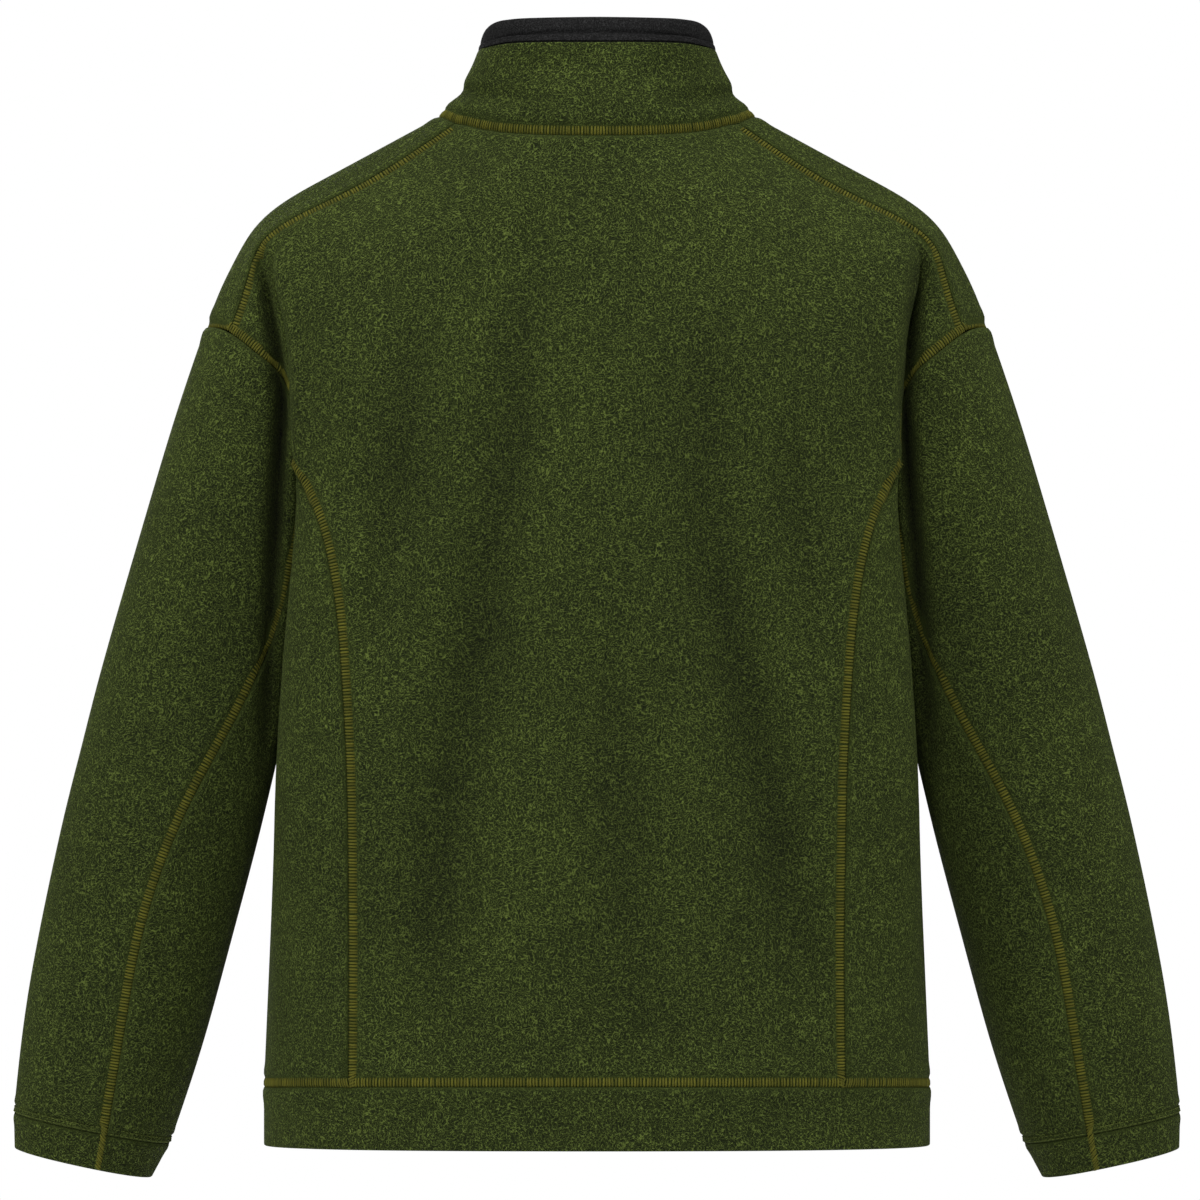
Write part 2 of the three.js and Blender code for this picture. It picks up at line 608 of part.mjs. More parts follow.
// The cloth is pressed thin where five seams meet in the two pinches of each armhole.
const pinches = [];
SIDES.forEach(({ name }) => {
  [COLUMNS.pinchBack, COLUMNS.pinchFront].forEach((column) => {
    pinches.push(net.points[net.ids.get(key('yoke', ROWS.yoke, column, name))]);
  });
});
function pressed(point) {
  const near = Math.min(...pinches.map((pinch) => length(sub(point, pinch))));
  return Math.min(1, PRESSED.least + ((1 - PRESSED.least) * near) / PRESSED.reach);
}

// A panel of cloth: its cells are the outer face, the inner face lies one thickness in, and every free
// edge has a rim and is drawn back by half the seam gap.
function wall(points, normals, list, thickness) {
  const used = [...new Set(list.flatMap((cell) => cell.ids))];
  const index = new Map(used.map((id, i) => [id, i]));
  const edges = new Set();
  list.forEach(({ ids }) => ids.forEach((id, i) => edges.add(`${id} ${ids[(i + 1) % 4]}`)));
  const rim = [...edges].map((e) => e.split(' ').map(Number)).filter(([a, b]) => !edges.has(`${b} ${a}`));
  const inward = new Map();
  rim.forEach(([a, b]) => {
    const along = unit(sub(points[b], points[a]));
    const side = unit(cross(unit(add(normals[a], normals[b])), along));
    [a, b].forEach((id) => inward.set(id, [...(inward.get(id) || []), side]));
  });
  const outer = used.map((id) => {
    const sides = inward.get(id);
    if (!sides) return points[id];
    const way = unit(sides.reduce(add));
    const loose = 1 + PINCH_GAP * (1 - pressed(points[id]));
    const reach = (loose * SEAM_GAP) / 2 / Math.max(dot(way, sides[0]), 0.5);
    return add(points[id], scale(way, reach));
  });
  const inner = used.map((id, i) => sub(outer[i], scale(normals[id], thickness * pressed(points[id]))));
  const count = used.length;
  const triangles = [];
  list.forEach(({ ids }) => {
    const [a, b, c, d] = ids.map((id) => index.get(id));
    const short = length(sub(outer[a], outer[c])) <= length(sub(outer[b], outer[d]));
    const pair = short ? [[a, b, c], [a, c, d]] : [[a, b, d], [b, c, d]];
    pair.forEach(([p, q, r]) => {
      triangles.push([p, q, r]);
      triangles.push([r + count, q + count, p + count]);
    });
  });
  rim.forEach(([from, to]) => {
    const a = index.get(from);
    const b = index.get(to);
    triangles.push([b, a, a + count]);
    triangles.push([b, a + count, b + count]);
  });
  return geometryOf([...outer, ...inner], triangles);
}

const group = new THREE.Group();

function piece(name, geometry, color, roughness = 1, metalness = 0) {
  const material = new THREE.MeshStandardMaterial({ color, roughness, metalness });
  material.name = name;
  const mesh = new THREE.Mesh(geometry, material);
  mesh.name = name;
  group.add(mesh);
  return mesh;
}

// Cloth panels cut from the net
const panels = [...new Set(net.cells.map((cell) => cell.panel))];
panels.forEach((name) => {
  const list = net.cells.filter((cell) => cell.panel === name);
  const thickness = name.startsWith('cuff') || name === 'hem_band' ? DOUBLED : FLEECE;
  const color = name.startsWith('sleeve_under') || name.startsWith('side') ? DARK_GREEN : GREEN;
  piece(name, wall(net.points, net.normals, list, thickness), color);
});

// The charcoal inner collar lines the green one and stands above it.
const tapeOuter = FRONT_X + TAPE_BEHIND;
const INNER_ROWS = 8;
const INNER_LAST = COLUMNS.front - 1;
const liningDepth = FLEECE + SEAM_GAP;
const inner = { points: [], cells: [], id: new Map() };
const bindingRow = ROWS.collar + 1;
for (let column = -INNER_LAST; column <= INNER_LAST; column += 1) {
  const side = column < 0 ? 'right' : 'left';
  const k = Math.abs(column);
  const sign = column < 0 ? -1 : 1;
  const rows = [];
  for (let row = 0; row <= ROWS.collar; row += 1) {
    const id = net.ids.get(key('collar', row, k, side));
    rows.push(sub(net.points[id], scale(net.normals[id], liningDepth)));
  }
  rows[0] = mix(rows[0], rows[1], LINING_FOOT);
  const crest = [charcoalTop[k][0] * sign, charcoalTop[k][1], charcoalTop[k][2]];
  const edge = rows[ROWS.collar];
  const rise = length(sub(crest, edge));
  rows.push(mix(edge, crest, BINDING_HEIGHT / rise));
  const step = mix(edge, crest, LINING_CREST.share);
  const away = unit([step[0], step[1], 0]);
  rows.push(add(step, scale(away, LINING_CREST.out)));
  rows.push(crest);
  if (k === INNER_LAST) rows.forEach((point) => { point[0] = sign * (tapeOuter + 1); });
  rows.forEach((point, row) => {
    inner.id.set(`${row} ${column}`, inner.points.length);
    inner.points.push(point);
  });
}
for (let row = 0; row < INNER_ROWS; row += 1) {
  for (let column = -INNER_LAST; column < INNER_LAST; column += 1) {
    const corner = (r, c) => inner.id.get(`${r} ${c}`);
    const low = [corner(row, column), corner(row, column + 1)];
    const high = [corner(row + 1, column), corner(row + 1, column + 1)];
    const ids = [low[0], high[0], high[1], low[1]];
    inner.cells.push({ panel: 'collar_inner', ids });
  }
}
inner.normals = netNormals(inner.points, inner.cells);
piece('collar_inner', wall(inner.points, inner.normals, inner.cells, LINING), CHARCOAL);

// The binding strip runs round the inner collar, just above the green edge.
const strip = { points: [], normals: [], cells: [] };
const stripShares = [BINDING_START, 1];
for (let column = -INNER_LAST; column <= INNER_LAST; column += 1) {
  const low = inner.id.get(`${ROWS.collar} ${column}`);
  const high = inner.id.get(`${bindingRow} ${column}`);
  stripShares.forEach((share) => {
    const normal = unit(mix(inner.normals[low], inner.normals[high], share));
    const at = mix(inner.points[low], inner.points[high], share);
    strip.points.push(add(at, scale(normal, BINDING + SEAM_GAP)));
    strip.normals.push(normal);
  });
}
for (let i = 0; i < 2 * INNER_LAST; i += 1) {
  strip.cells.push({ panel: 'collar_binding', ids: [2 * i, 2 * i + 1, 2 * i + 3, 2 * i + 2] });
}
piece('collar_binding', wall(strip.points, strip.normals, strip.cells, BINDING), CHARCOAL);

// The front edge as one line from the hem up to the collar top, with its normals
const edgeRows = [];
for (let row = ROWS.hem; row >= 1; row -= 1) edgeRows.push(['hem', row, torsoOrder]);
for (let row = ROWS.yoke + ROWS.torso; row > ROWS.yoke; row -= 1) edgeRows.push(['torso', row, torsoOrder]);
for (let row = ROWS.yoke; row >= 0; row -= 1) edgeRows.push(['yoke', row, COLUMNS.front]);
for (let row = 1; row <= ROWS.collar; row += 1) edgeRows.push(['collar', row, COLUMNS.front]);
const frontEdge = edgeRows.map(([patch, row, column]) => {
  const id = net.ids.get(key(patch, row, column, 'left'));
  const n = net.normals[id];
  return { point: net.points[id], normal: unit([0, n[1], n[2]]) };
});

// A ribbon behind the front edge: from x0 to x1, its outer face set back and then its thickness.
function ribbon(edge, x0, x1, setBack, thickness) {
  const points = [];
  const triangles = [];
  edge.forEach(({ point, normal }) => {
    const outer = sub(point, scale(normal, setBack));
    const back = sub(outer, scale(normal, thickness));
    points.push([x0, outer[1], outer[2]], [x1, outer[1], outer[2]]);
    points.push([x1, back[1], back[2]], [x0, back[1], back[2]]);
  });
  for (let i = 0; i < edge.length - 1; i += 1) {
    for (let j = 0; j < 4; j += 1) {
      const a = 4 * i + j;
      const b = 4 * i + ((j + 1) % 4);
      triangles.push([a, b, b + 4], [a, b + 4, a + 4]);
    }
  }
  const end = 4 * (edge.length - 1);
  triangles.push([0, 2, 1], [0, 3, 2], [end, end + 1, end + 2], [end, end + 2, end + 3]);
  return geometryOf(points, triangles);
}

const tapeSetBack = DOUBLED + TAPE_GAP;
const tapeInner = CHAIN_WIDTH / 2 + SEAM_GAP;
piece('zip_tape_left', ribbon(frontEdge, tapeInner, tapeOuter, tapeSetBack, TAPE), CHARCOAL);
piece('zip_tape_right', ribbon(frontEdge, -tapeOuter, -tapeInner, tapeSetBack, TAPE), CHARCOAL);
const chainSetBack = tapeSetBack + TAPE / 2 - CHAIN_THICK / 2;
const foot = frontEdge[0];
const overFoot = frontEdge[1];
const boxTop = foot.point[2] + RETAINER.lift + RETAINER.height;
const chainShare = (boxTop + SEAM_GAP - foot.point[2]) / (overFoot.point[2] - foot.point[2]);
const chainStart = {
  point: mix(foot.point, overFoot.point, chainShare),
  normal: unit(mix(foot.normal, overFoot.normal, chainShare)),
};
const chainEdge = [chainStart, ...frontEdge.slice(1, frontEdge.length - 1)];
const chain = ribbon(chainEdge, -CHAIN_WIDTH / 2, CHAIN_WIDTH / 2, chainSetBack, CHAIN_THICK);
piece('zip_chain', chain, METAL, 0.5, 0.2);

// Solids of the hard zip pieces are joined from three.js shapes.
function solidOf(geometry) {
  const bare = geometry.index ? geometry.toNonIndexed() : geometry.clone();
  bare.deleteAttribute('normal');
  bare.deleteAttribute('uv');
  const merged = mergeVertices(bare, 1e-4);
  const mesh = new wasm.Mesh({
    numProp: 3,
    vertProperties: new Float32Array(merged.attributes.position.array),
    triVerts: new Uint32Array(merged.index.array),
  });
  return new wasm.Manifold(mesh);
}

function fromSolid(solid) {
  const mesh = solid.getMesh();
  const geometry = new THREE.BufferGeometry();
  geometry.setAttribute('position', new THREE.BufferAttribute(new Float32Array(mesh.vertProperties), 3));
  geometry.setIndex(new THREE.BufferAttribute(new Uint32Array(mesh.triVerts), 1));
  geometry.computeVertexNormals();
  return geometry;
}

function block(width, depth, height, x, y, z) {
  return new THREE.BoxGeometry(width, depth, height).translate(x, y, z);
}

// A flat outline in the X-Z plane, thick in Y, its outer face towards -Y.
function plate(shape, thick, outerY) {
  const geometry = new THREE.ExtrudeGeometry(shape, { depth: thick, bevelEnabled: false, curveSegments: 6 });
  return geometry.rotateX(Math.PI / 2).translate(0, outerY + thick, 0);
}

// The slider sits at the collar top, tilted with the front edge.
const sliderAt = frontEdge[frontEdge.length - 2];
const topAt = frontEdge[frontEdge.length - 1];
const edgeWay = unit(sub(topAt.point, sliderAt.point));
const outWay = unit(cross(edgeWay, [1, 0, 0]));
const lean = Math.atan2(-edgeWay[1], edgeWay[2]);
const seat = mix(sliderAt.point, topAt.point, 1 - SLIDER.below / length(sub(topAt.point, sliderAt.point)));
const toward = outWay[1] < 0 ? outWay : scale(outWay, -1);
const chainFace = add(seat, scale(toward, -chainSetBack));
const sliderFrame = new THREE.Group();
sliderFrame.position.set(0, chainFace[1], chainFace[2]);
sliderFrame.rotation.x = lean;
group.add(sliderFrame);

const shieldHalf = SLIDER.width / 2;
const shieldTop = SLIDER.height / 2;
const shield = new THREE.Shape();
shield.moveTo(-shieldHalf, shieldTop - SLIDER.corner);
shield.quadraticCurveTo(-shieldHalf, shieldTop, -shieldHalf / 2, shieldTop);
shield.lineTo(shieldHalf / 2, shieldTop);
shield.quadraticCurveTo(shieldHalf, shieldTop, shieldHalf, shieldTop - SLIDER.corner);
shield.lineTo(SLIDER.width / 3, -shieldTop);
shield.lineTo(-SLIDER.width / 3, -shieldTop);
shield.closePath();
const plateBack = -SEAM_GAP;
const plateFront = plateBack - SLIDER.thick;
const bridgeTop = BRIDGE.z + BRIDGE.up + BRIDGE.thick;
const bridgeBottom = BRIDGE.z - BRIDGE.down - BRIDGE.thick;
const bridgeOut = plateFront - BRIDGE.clear - BRIDGE.thick;
const legDepth = plateFront + BRIDGE.sunk - bridgeOut;
const legY = bridgeOut + legDepth / 2;
const spanHeight = bridgeTop - bridgeBottom;
const spanY = bridgeOut + BRIDGE.thick / 2;
let slider = solidOf(plate(shield, SLIDER.thick, plateFront));
[
  block(BRIDGE.width, BRIDGE.thick, spanHeight, 0, spanY, (bridgeTop + bridgeBottom) / 2),
  block(BRIDGE.width, legDepth, BRIDGE.thick, 0, legY, bridgeTop - BRIDGE.thick / 2),
  block(BRIDGE.width, legDepth, BRIDGE.thick, 0, legY, bridgeBottom + BRIDGE.thick / 2),
].forEach((part) => { slider = slider.add(solidOf(part)); });
const sliderMesh = piece('zip_slider', fromSolid(slider), METAL, 0.4, 0.7);
sliderFrame.add(sliderMesh);

// The pull tab hangs from the bridge by the bar above its window.
const barY = plateFront - BRIDGE.clear / 2;
const tab = new THREE.Shape();
const halfPull = PULL.width / 2;
const tabBottom = PULL.bar / 2 - PULL.length;
tab.moveTo(-halfPull, PULL.bar / 2);
tab.lineTo(-halfPull, tabBottom + halfPull);
tab.absarc(0, tabBottom + halfPull, halfPull, Math.PI, 2 * Math.PI, false);
tab.lineTo(halfPull, PULL.bar / 2);
tab.closePath();
const opening = new THREE.Path();
opening.moveTo(-PULL.window / 2, -PULL.bar / 2);
opening.lineTo(PULL.window / 2, -PULL.bar / 2);
opening.lineTo(PULL.window / 2, -PULL.bar / 2 - PULL.windowHeight);
opening.lineTo(-PULL.window / 2, -PULL.bar / 2 - PULL.windowHeight);
opening.closePath();
tab.holes.push(opening);
const pullMesh = piece('zip_pull', plate(tab, PULL.thick, -PULL.thick / 2), METAL, 0.4, 0.7);
pullMesh.position.set(0, barY, BRIDGE.z);
sliderFrame.add(pullMesh);

// The retainer box closes the zip at the hem.
const boxY = foot.point[1] - foot.normal[1] * (tapeSetBack + TAPE / 2);
const boxZ = boxTop - RETAINER.height / 2;
const retainerWidth = 2 * tapeInner - 2 * SEAM_GAP;
piece('zip_box', block(retainerWidth, RETAINER.thick, RETAINER.height, 0, boxY, boxZ), METAL, 0.5, 0.3);

export default group;
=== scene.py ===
import math
import random

import bmesh
import bpy
import numpy as np
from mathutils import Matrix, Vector
from mathutils.bvhtree import BVHTree
from mathutils.kdtree import KDTree


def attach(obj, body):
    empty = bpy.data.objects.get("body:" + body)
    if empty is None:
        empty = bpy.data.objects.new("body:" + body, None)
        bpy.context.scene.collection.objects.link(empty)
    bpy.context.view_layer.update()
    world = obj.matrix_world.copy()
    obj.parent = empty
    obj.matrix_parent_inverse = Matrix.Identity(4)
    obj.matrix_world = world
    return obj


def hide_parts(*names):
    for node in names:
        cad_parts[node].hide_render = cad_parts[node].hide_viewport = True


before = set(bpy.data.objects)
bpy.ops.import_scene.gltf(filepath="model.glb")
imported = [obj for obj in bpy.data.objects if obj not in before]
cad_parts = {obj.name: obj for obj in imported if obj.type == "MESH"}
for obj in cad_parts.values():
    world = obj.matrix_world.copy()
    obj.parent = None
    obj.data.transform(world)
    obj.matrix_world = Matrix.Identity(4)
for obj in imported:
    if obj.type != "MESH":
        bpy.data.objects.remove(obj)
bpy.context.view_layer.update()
scene = bpy.context.scene
MM = 0.001

# Camera: level with the middle of the back and five metres off, so that the jacket shows as flat as in
# a catalogue picture. A long lens holds it just inside the square picture.
EYE = Vector((-0.002, 5.0, -0.3205))
lens = bpy.data.cameras.new("back_view")
lens.lens = 225.6
lens.sensor_width = 36
lens.clip_end = 80
camera = bpy.data.objects.new("back_view", lens)
camera.location = EYE
camera.rotation_euler = (math.radians(90), 0, math.radians(180))
scene.collection.objects.link(camera)
scene.camera = camera

# Studio: a pale round floor well below the hem, a white room, and broad soft lights. The wide light
# behind the camera is the main one; those at the sides and above lift the nap along the outlines.
FLOOR_Z = -1.45
FLOOR_RADIUS = 8
floor_mesh = bpy.data.meshes.new("floor")
bm = bmesh.new()
bmesh.ops.create_circle(bm, cap_ends=True, segments=96, radius=FLOOR_RADIUS)
bmesh.ops.translate(bm, verts=bm.verts, vec=(0, 0, FLOOR_Z))
bm.to_mesh(floor_mesh)
bm.free()
floor = bpy.data.objects.new("floor", floor_mesh)
scene.collection.objects.link(floor)
floor_paint = bpy.data.materials.new("floor_paint")
floor_paint.use_nodes = True
floor_paint.node_tree.nodes["Principled BSDF"].inputs["Base Color"].default_value = (0.86, 0.86, 0.85, 1)
floor_paint.node_tree.nodes["Principled BSDF"].inputs["Roughness"].default_value = 0.9
floor_mesh.materials.append(floor_paint)

room = bpy.data.worlds.new("white_room")
room.use_nodes = True
sky = room.node_tree
ambient = sky.nodes["Background"]
ambient.inputs["Color"].default_value = (1, 1, 1, 1)
ambient.inputs["Strength"].default_value = 0.09
backdrop = sky.nodes.new("ShaderNodeBackground")
backdrop.inputs["Color"].default_value = (1, 1, 1, 1)
backdrop.inputs["Strength"].default_value = 1.0
path = sky.nodes.new("ShaderNodeLightPath")
seen = sky.nodes.new("ShaderNodeMixShader")
sky.links.new(path.outputs["Is Camera Ray"], seen.inputs["Fac"])
sky.links.new(ambient.outputs[0], seen.inputs[1])
sky.links.new(backdrop.outputs[0], seen.inputs[2])
sky.links.new(seen.outputs[0], sky.nodes["World Output"].inputs["Surface"])
scene.world = room
scene.view_settings.view_transform = "Standard"


def softbox(name, place, aim, width, watts):
    """A square light of that width, turned to face aim."""
    data = bpy.data.lights.new(name, "AREA")
    data.size = width
    data.energy = watts
    lamp = bpy.data.objects.new(name, data)
    lamp.location = place
    lamp.rotation_euler = (Vector(aim) - Vector(place)).to_track_quat("-Z", "Y").to_euler()
    scene.collection.objects.link(lamp)


CHEST = (0, 0, -0.3)
softbox("main_light", (0.5, 3.9, 1.7), CHEST, 1.6, 66)
softbox("left_light", (3.6, 1.5, 0.7), CHEST, 1.4, 60)
softbox("right_light", (-3.6, 1.5, 0.7), CHEST, 1.4, 56)
softbox("top_light", (0, 0.5, 3.2), CHEST, 1.6, 84)
softbox("front_light", (0.8, -4.2, 1.2), CHEST, 2.4, 70)

# Back panel: one piece of pile fleece from the neck seam to the hem seam, with the back of both
# shoulders. It is cut out with shears and sewn flat to its neighbours with a covering stitch, and hangs
# in a few long soft folds below the shoulder blades.
SHARP = math.radians(52)
GENTLE = math.radians(38)
SLEEVE_HEART = {side: (Vector((sign * 0.225, -0.006, -0.16)), Vector((sign * 0.339, -0.02, -0.68)))
                for side, sign in (("left", 1), ("right", -1))}
NEAR_SEAM = 3.2 * MM
NARROW = 5.5

# How far the cloth stands out (in mm) at distances (in mm) from its edge
EDGES = {
    "stitched": ((0, -0.7), (5.6, -0.6), (7.6, 0.35), (10.5, 0.55), (16, 0)),
    "lapped": ((0, -0.5), (0.9, 0.25), (2.6, 0.75), (6, 0.7), (12, 0)),
    "plain": ((0, -0.7), (1.6, 0.1), (4, 0.4), (9, 0)),
    "double_row": ((0, -0.7), (1.2, 0.1), (2.6, 0.3), (3.9, -0.15), (4.6, -0.85), (5.3, -0.15), (7.5, 0.5), (12, 0)),
    "one_row": ((0, -0.5), (1.2, 0.2), (4.6, 0.35), (5.8, -0.1), (6.6, -0.6), (7.4, -0.1), (10, 0.35), (14, 0)),
    "free": ((0, 0), (20, 0)),
}


def from_body(point):
    """The way out of the body at a point, level and square to its oval."""
    return Vector((point.x / 0.215 ** 2, point.y / 0.12 ** 2, 0)).normalized()


def from_arm(side):
    """The way out of an arm, square to its middle line."""
    shoulder, wrist = SLEEVE_HEART[side]
    along = (wrist - shoulder).normalized()

    def away(point):
        out = point - shoulder
        return (out - along * out.dot(along)).normalized()
    return away


OUTSIDE, INSIDE, RIM = 1, 2, 0
WALL = 3.6 * MM


def groups(faces, joined):
    """The faces in connected groups, where joined says which shared edges connect them."""
    left = set(faces)
    found = []
    while left:
        group = [left.pop()]
        for face in group:
            near = {g for e in face.edges if joined(e) for g in e.link_faces if g in left}
            left -= near
            group.extend(near)
        found.append(group)
    return found


def mark_sides(bm, away):
    """Marks each face of a wall as its outside, its inside or its rim. The two largest smooth groups are the
    sides, a group that touches both is rim, and one in a deep fold belongs to the side that it touches."""
    side = bm.faces.layers.int.new("side")
    tree = BVHTree.FromBMesh(bm)
    found = groups(bm.faces, lambda e: e.calc_face_angle(0) < GENTLE)
    found.sort(key=lambda group: -sum(f.calc_area() for f in group))
    sides = sorted(found[:2], key=lambda group: sum(f.calc_area() * f.normal.dot(away(f.calc_center_median()))
                                                    for f in group))
    marks = {f: mark for group, mark in zip(sides, (INSIDE, OUTSIDE)) for f in group}
    rest = []
    for group in found[2:]:
        touched = {marks[g] for f in group for e in f.edges for g in e.link_faces if g in marks}
        if {INSIDE, OUTSIDE} <= touched:
            marks.update((f, RIM) for f in group)
        else:
            rest.append(group)
    for group in rest * 2:
        touched = {marks.get(g, RIM) for f in group for e in f.edges for g in e.link_faces} - {RIM}
        thin = sum(tree.ray_cast(f.calc_center_median() - f.normal * 0.05 * MM, -f.normal, WALL)[0] is not None
                   for f in group)
        if len(touched) == 1 and thin * 2 > len(group):
            marks.update((f, min(touched)) for f in group)
    for face in bm.faces:
        face[side] = marks.get(face, RIM)


def new_piece(name, mesh):
    piece = bpy.data.objects.new(name, mesh)
    scene.collection.objects.link(piece)
    return piece


def finer(piece, bm, keep_sharp):
    """One round of subdivision. The edges of the rim stay sharp where keep_sharp says so."""
    crease = bm.edges.layers.float.get("crease_edge") or bm.edges.layers.float.new("crease_edge")
    side = bm.faces.layers.int["side"]
    for edge in bm.edges:
        sides = {face[side] for face in edge.link_faces}
        corner = sides == {RIM} and edge.calc_face_angle(0) > SHARP
        edge[crease] = 1.0 if (len(sides) > 1 or corner) and keep_sharp(edge) else 0.0
    bm.to_mesh(piece.data)
    bm.free()
    piece.modifiers.new("soften", "SUBSURF").levels = 1
    evaluated = piece.evaluated_get(bpy.context.evaluated_depsgraph_get())
    softer = bpy.data.meshes.new_from_object(evaluated)
    piece.modifiers.clear()
    piece.data = softer
    bm = bmesh.new()
    bm.from_mesh(softer)
    return bm


def crease(fold, points):
    """How far off its middle, in half widths, points in mm lie from a crease, and how deep it is beside them."""
    axis, facing, stations = fold
    at, middle, half, deep = np.array(stations, dtype=float).T
    t = points[:, axis]
    across = (points[:, 2 - axis] - np.interp(t, at, middle)) / np.interp(t, at, half)
    turned = np.clip(points[:, 1] * facing / 20, 0, 1) if facing else 1
    return across, np.interp(t, at, deep) * turned


def fold_in(folds, bm, away, painted_fold_shade):
    """Presses creases into a panel. Each runs along x or z on the back (1), the front (-1) or both (0), through
    stations with where it lies there, its half width and its depth, all in mm."""
    points = np.array([v.co[:] for v in bm.verts]) / MM
    moves = np.zeros_like(points)
    total = np.zeros(len(points))
    for fold in folds:
        across, deep = crease(fold, points)
        push = deep * np.exp(-across * across)
        ways = [(0, fold[1], 0)] * len(points) if fold[1] else [away(v.co)[:] for v in bm.verts]
        moves -= np.array(ways) * push[:, None]
        total += push
    for vert, move, push in zip(bm.verts, moves, total):
        vert.co += Vector(move) * MM
        # Painted shade: the depth a point is pressed in (full strength at 5 mm) is stored to darken the fleece colour
        # there
        vert[painted_fold_shade] = max(push, 0) / 5


rims = {}


def cloth(node, away, seams, folds, material, free_edge="free"):
    """One panel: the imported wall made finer, its folds and pressed seam edges put in, and its stitching line kept.
    seams names each neighbour with how this panel's edge is finished along it."""
    bm = bmesh.new()
    bm.from_mesh(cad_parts[node].data)
    bmesh.ops.remove_doubles(bm, verts=bm.verts, dist=0.004 * MM)
    bmesh.ops.join_triangles(bm, faces=bm.faces, angle_face_threshold=math.radians(50),
                             angle_shape_threshold=math.radians(180), topology_influence=2)
    mark_sides(bm, away)
    piece = new_piece(node + "_cloth", bpy.data.meshes.new(node + "_cloth"))
    bm = finer(piece, bm, lambda edge: True)

    trees = {}
    for neighbour in seams:
        wall = bmesh.new()
        wall.from_mesh(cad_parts[neighbour].data)
        trees[neighbour] = BVHTree.FromBMesh(wall)
        wall.free()

    def neighbour_at(point):
        near = [(tree.find_nearest(point, NEAR_SEAM)[3], name) for name, tree in trees.items()]
        near = [(distance, name) for distance, name in near if distance is not None]
        return min(near)[1] if near else None

    side = bm.faces.layers.int["side"]
    for patch in (OUTSIDE, INSIDE):
        faces = {f for f in bm.faces if f[side] == patch}
        rim = {v for f in faces for e in f.edges if any(g not in faces for g in e.link_faces) for v in e.verts}
        rungs = {e for f in faces for e in f.edges
                 if sum(v in rim for v in e.verts) == 1 and all(g in faces for g in e.link_faces)}
        bmesh.ops.subdivide_edges(bm, edges=list(rungs), cuts=3)
    bm = finer(piece, bm, lambda edge: any(neighbour_at(v.co) for v in edge.verts))
    edges = list(bm.edges)
    middles = np.array([((e.verts[0].co + e.verts[1].co) / 2)[:] for e in edges]) / MM
    narrow = np.zeros(len(edges), dtype=bool)
    for fold in folds:
        if fold[2][0][2] < NARROW:
            across, deep = crease(fold, middles)
            narrow |= (abs(across) < 2.4) & (deep > 0)
    bmesh.ops.subdivide_edges(bm, edges=[e for e, n in zip(edges, narrow) if n], cuts=2, use_grid_fill=True)

    pressed = bm.verts.layers.float.new("pressed")
    painted_fold_shade = bm.verts.layers.float.new("painted_fold_shade")
    side = bm.faces.layers.int["side"]
    outer = [face for face in bm.faces if face[side] == OUTSIDE]
    side = set(outer)
    rim_edges = [e for f in outer for e in f.edges if any(g not in side for g in e.link_faces)]
    sewn_to = {e: neighbour_at((e.verts[0].co + e.verts[1].co) / 2) for e in rim_edges}
    sewn_to.update((v, neighbour_at(v.co)) for v in {v for e in rim_edges for v in e.verts})
    fold_in(folds, bm, away, painted_fold_shade)
    bm.normal_update()
    samples = []
    for edge in rim_edges:
        finish = sewn_to[edge]
        steps = max(1, round(edge.calc_length() / MM))
        for i in range(steps):
            samples.append((edge.verts[0].co.lerp(edge.verts[1].co, (i + 0.5) / steps), finish))
    near_rim = KDTree(len(samples))
    for i, (point, finish) in enumerate(samples):
        near_rim.insert(point, i)
    near_rim.balance()
    out = {}
    for face in outer:
        for vert in face.verts:
            out[vert] = out.get(vert, Vector()) + face.normal * face.calc_area()
    for vert, normal in out.items():
        point, i, distance = near_rim.find(vert.co)
        finish = samples[i][1]
        profile = EDGES[seams[finish] if finish else free_edge]
        d = distance / MM
        lift = np.interp(d, [p[0] for p in profile], [p[1] for p in profile])
        out[vert] = normal.normalized()
        if finish:
            vert[pressed] = float(np.interp(d, (0, 5, 9), (1, 0.8, 0)) if seams[finish] == "stitched"
                                  else np.interp(d, (0, 1.5, 3), (1, 0.5, 0)))
        vert.co += out[vert] * float(lift) * MM

    ways = {}
    for edge in rim_edges:
        face = next(f for f in edge.link_faces if f in side)
        along = (edge.verts[1].co - edge.verts[0].co).normalized()
        middle = (edge.verts[0].co + edge.verts[1].co) / 2
        inward = face.calc_center_median() - middle
        inward = (inward - along * inward.dot(along)).normalized()
        for vert, other in (edge.verts, reversed(edge.verts)):
            ways.setdefault(vert, []).append((other, inward))
    runs = []
    waiting = set(ways)
    while waiting:
        vert = min(waiting, key=lambda v: v.index)
        loop = []
        while vert in waiting:
            waiting.discard(vert)
            inward = sum((w for other, w in ways[vert]), Vector()).normalized()
            loop.append((vert.co.copy(), out[vert], inward, sewn_to[vert]))
            vert = next((other for other, w in ways[vert] if other in waiting), None)
        runs.append(loop)

    mesh = bpy.data.meshes.new(piece.name)
    bm.to_mesh(mesh)
    rims[node] = {"loops": runs, "surface": BVHTree.FromBMesh(bm)}
    bm.free()
    piece.data = mesh
    mesh.shade_smooth()
    mesh.set_sharp_from_angle(angle=SHARP)
    mesh.materials.append(material)
    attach(piece, "jacket")
    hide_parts(node)
    return piece


def shader(tree, kind, values=None, **settings):
    made = tree.nodes.new("ShaderNode" + kind)
    for key, value in settings.items():
        setattr(made, key, value)
    for socket, value in (values or {}).items():
        made.inputs[socket].default_value = value
    return made


def srgb(red, green, blue):
    """A colour given in 0 to 255 as the eye sees it."""
    def linear(c):
        c /= 255
        return c / 12.92 if c <= 0.04045 else ((c + 0.055) / 1.055) ** 2.4
    return (linear(red), linear(green), linear(blue), 1)


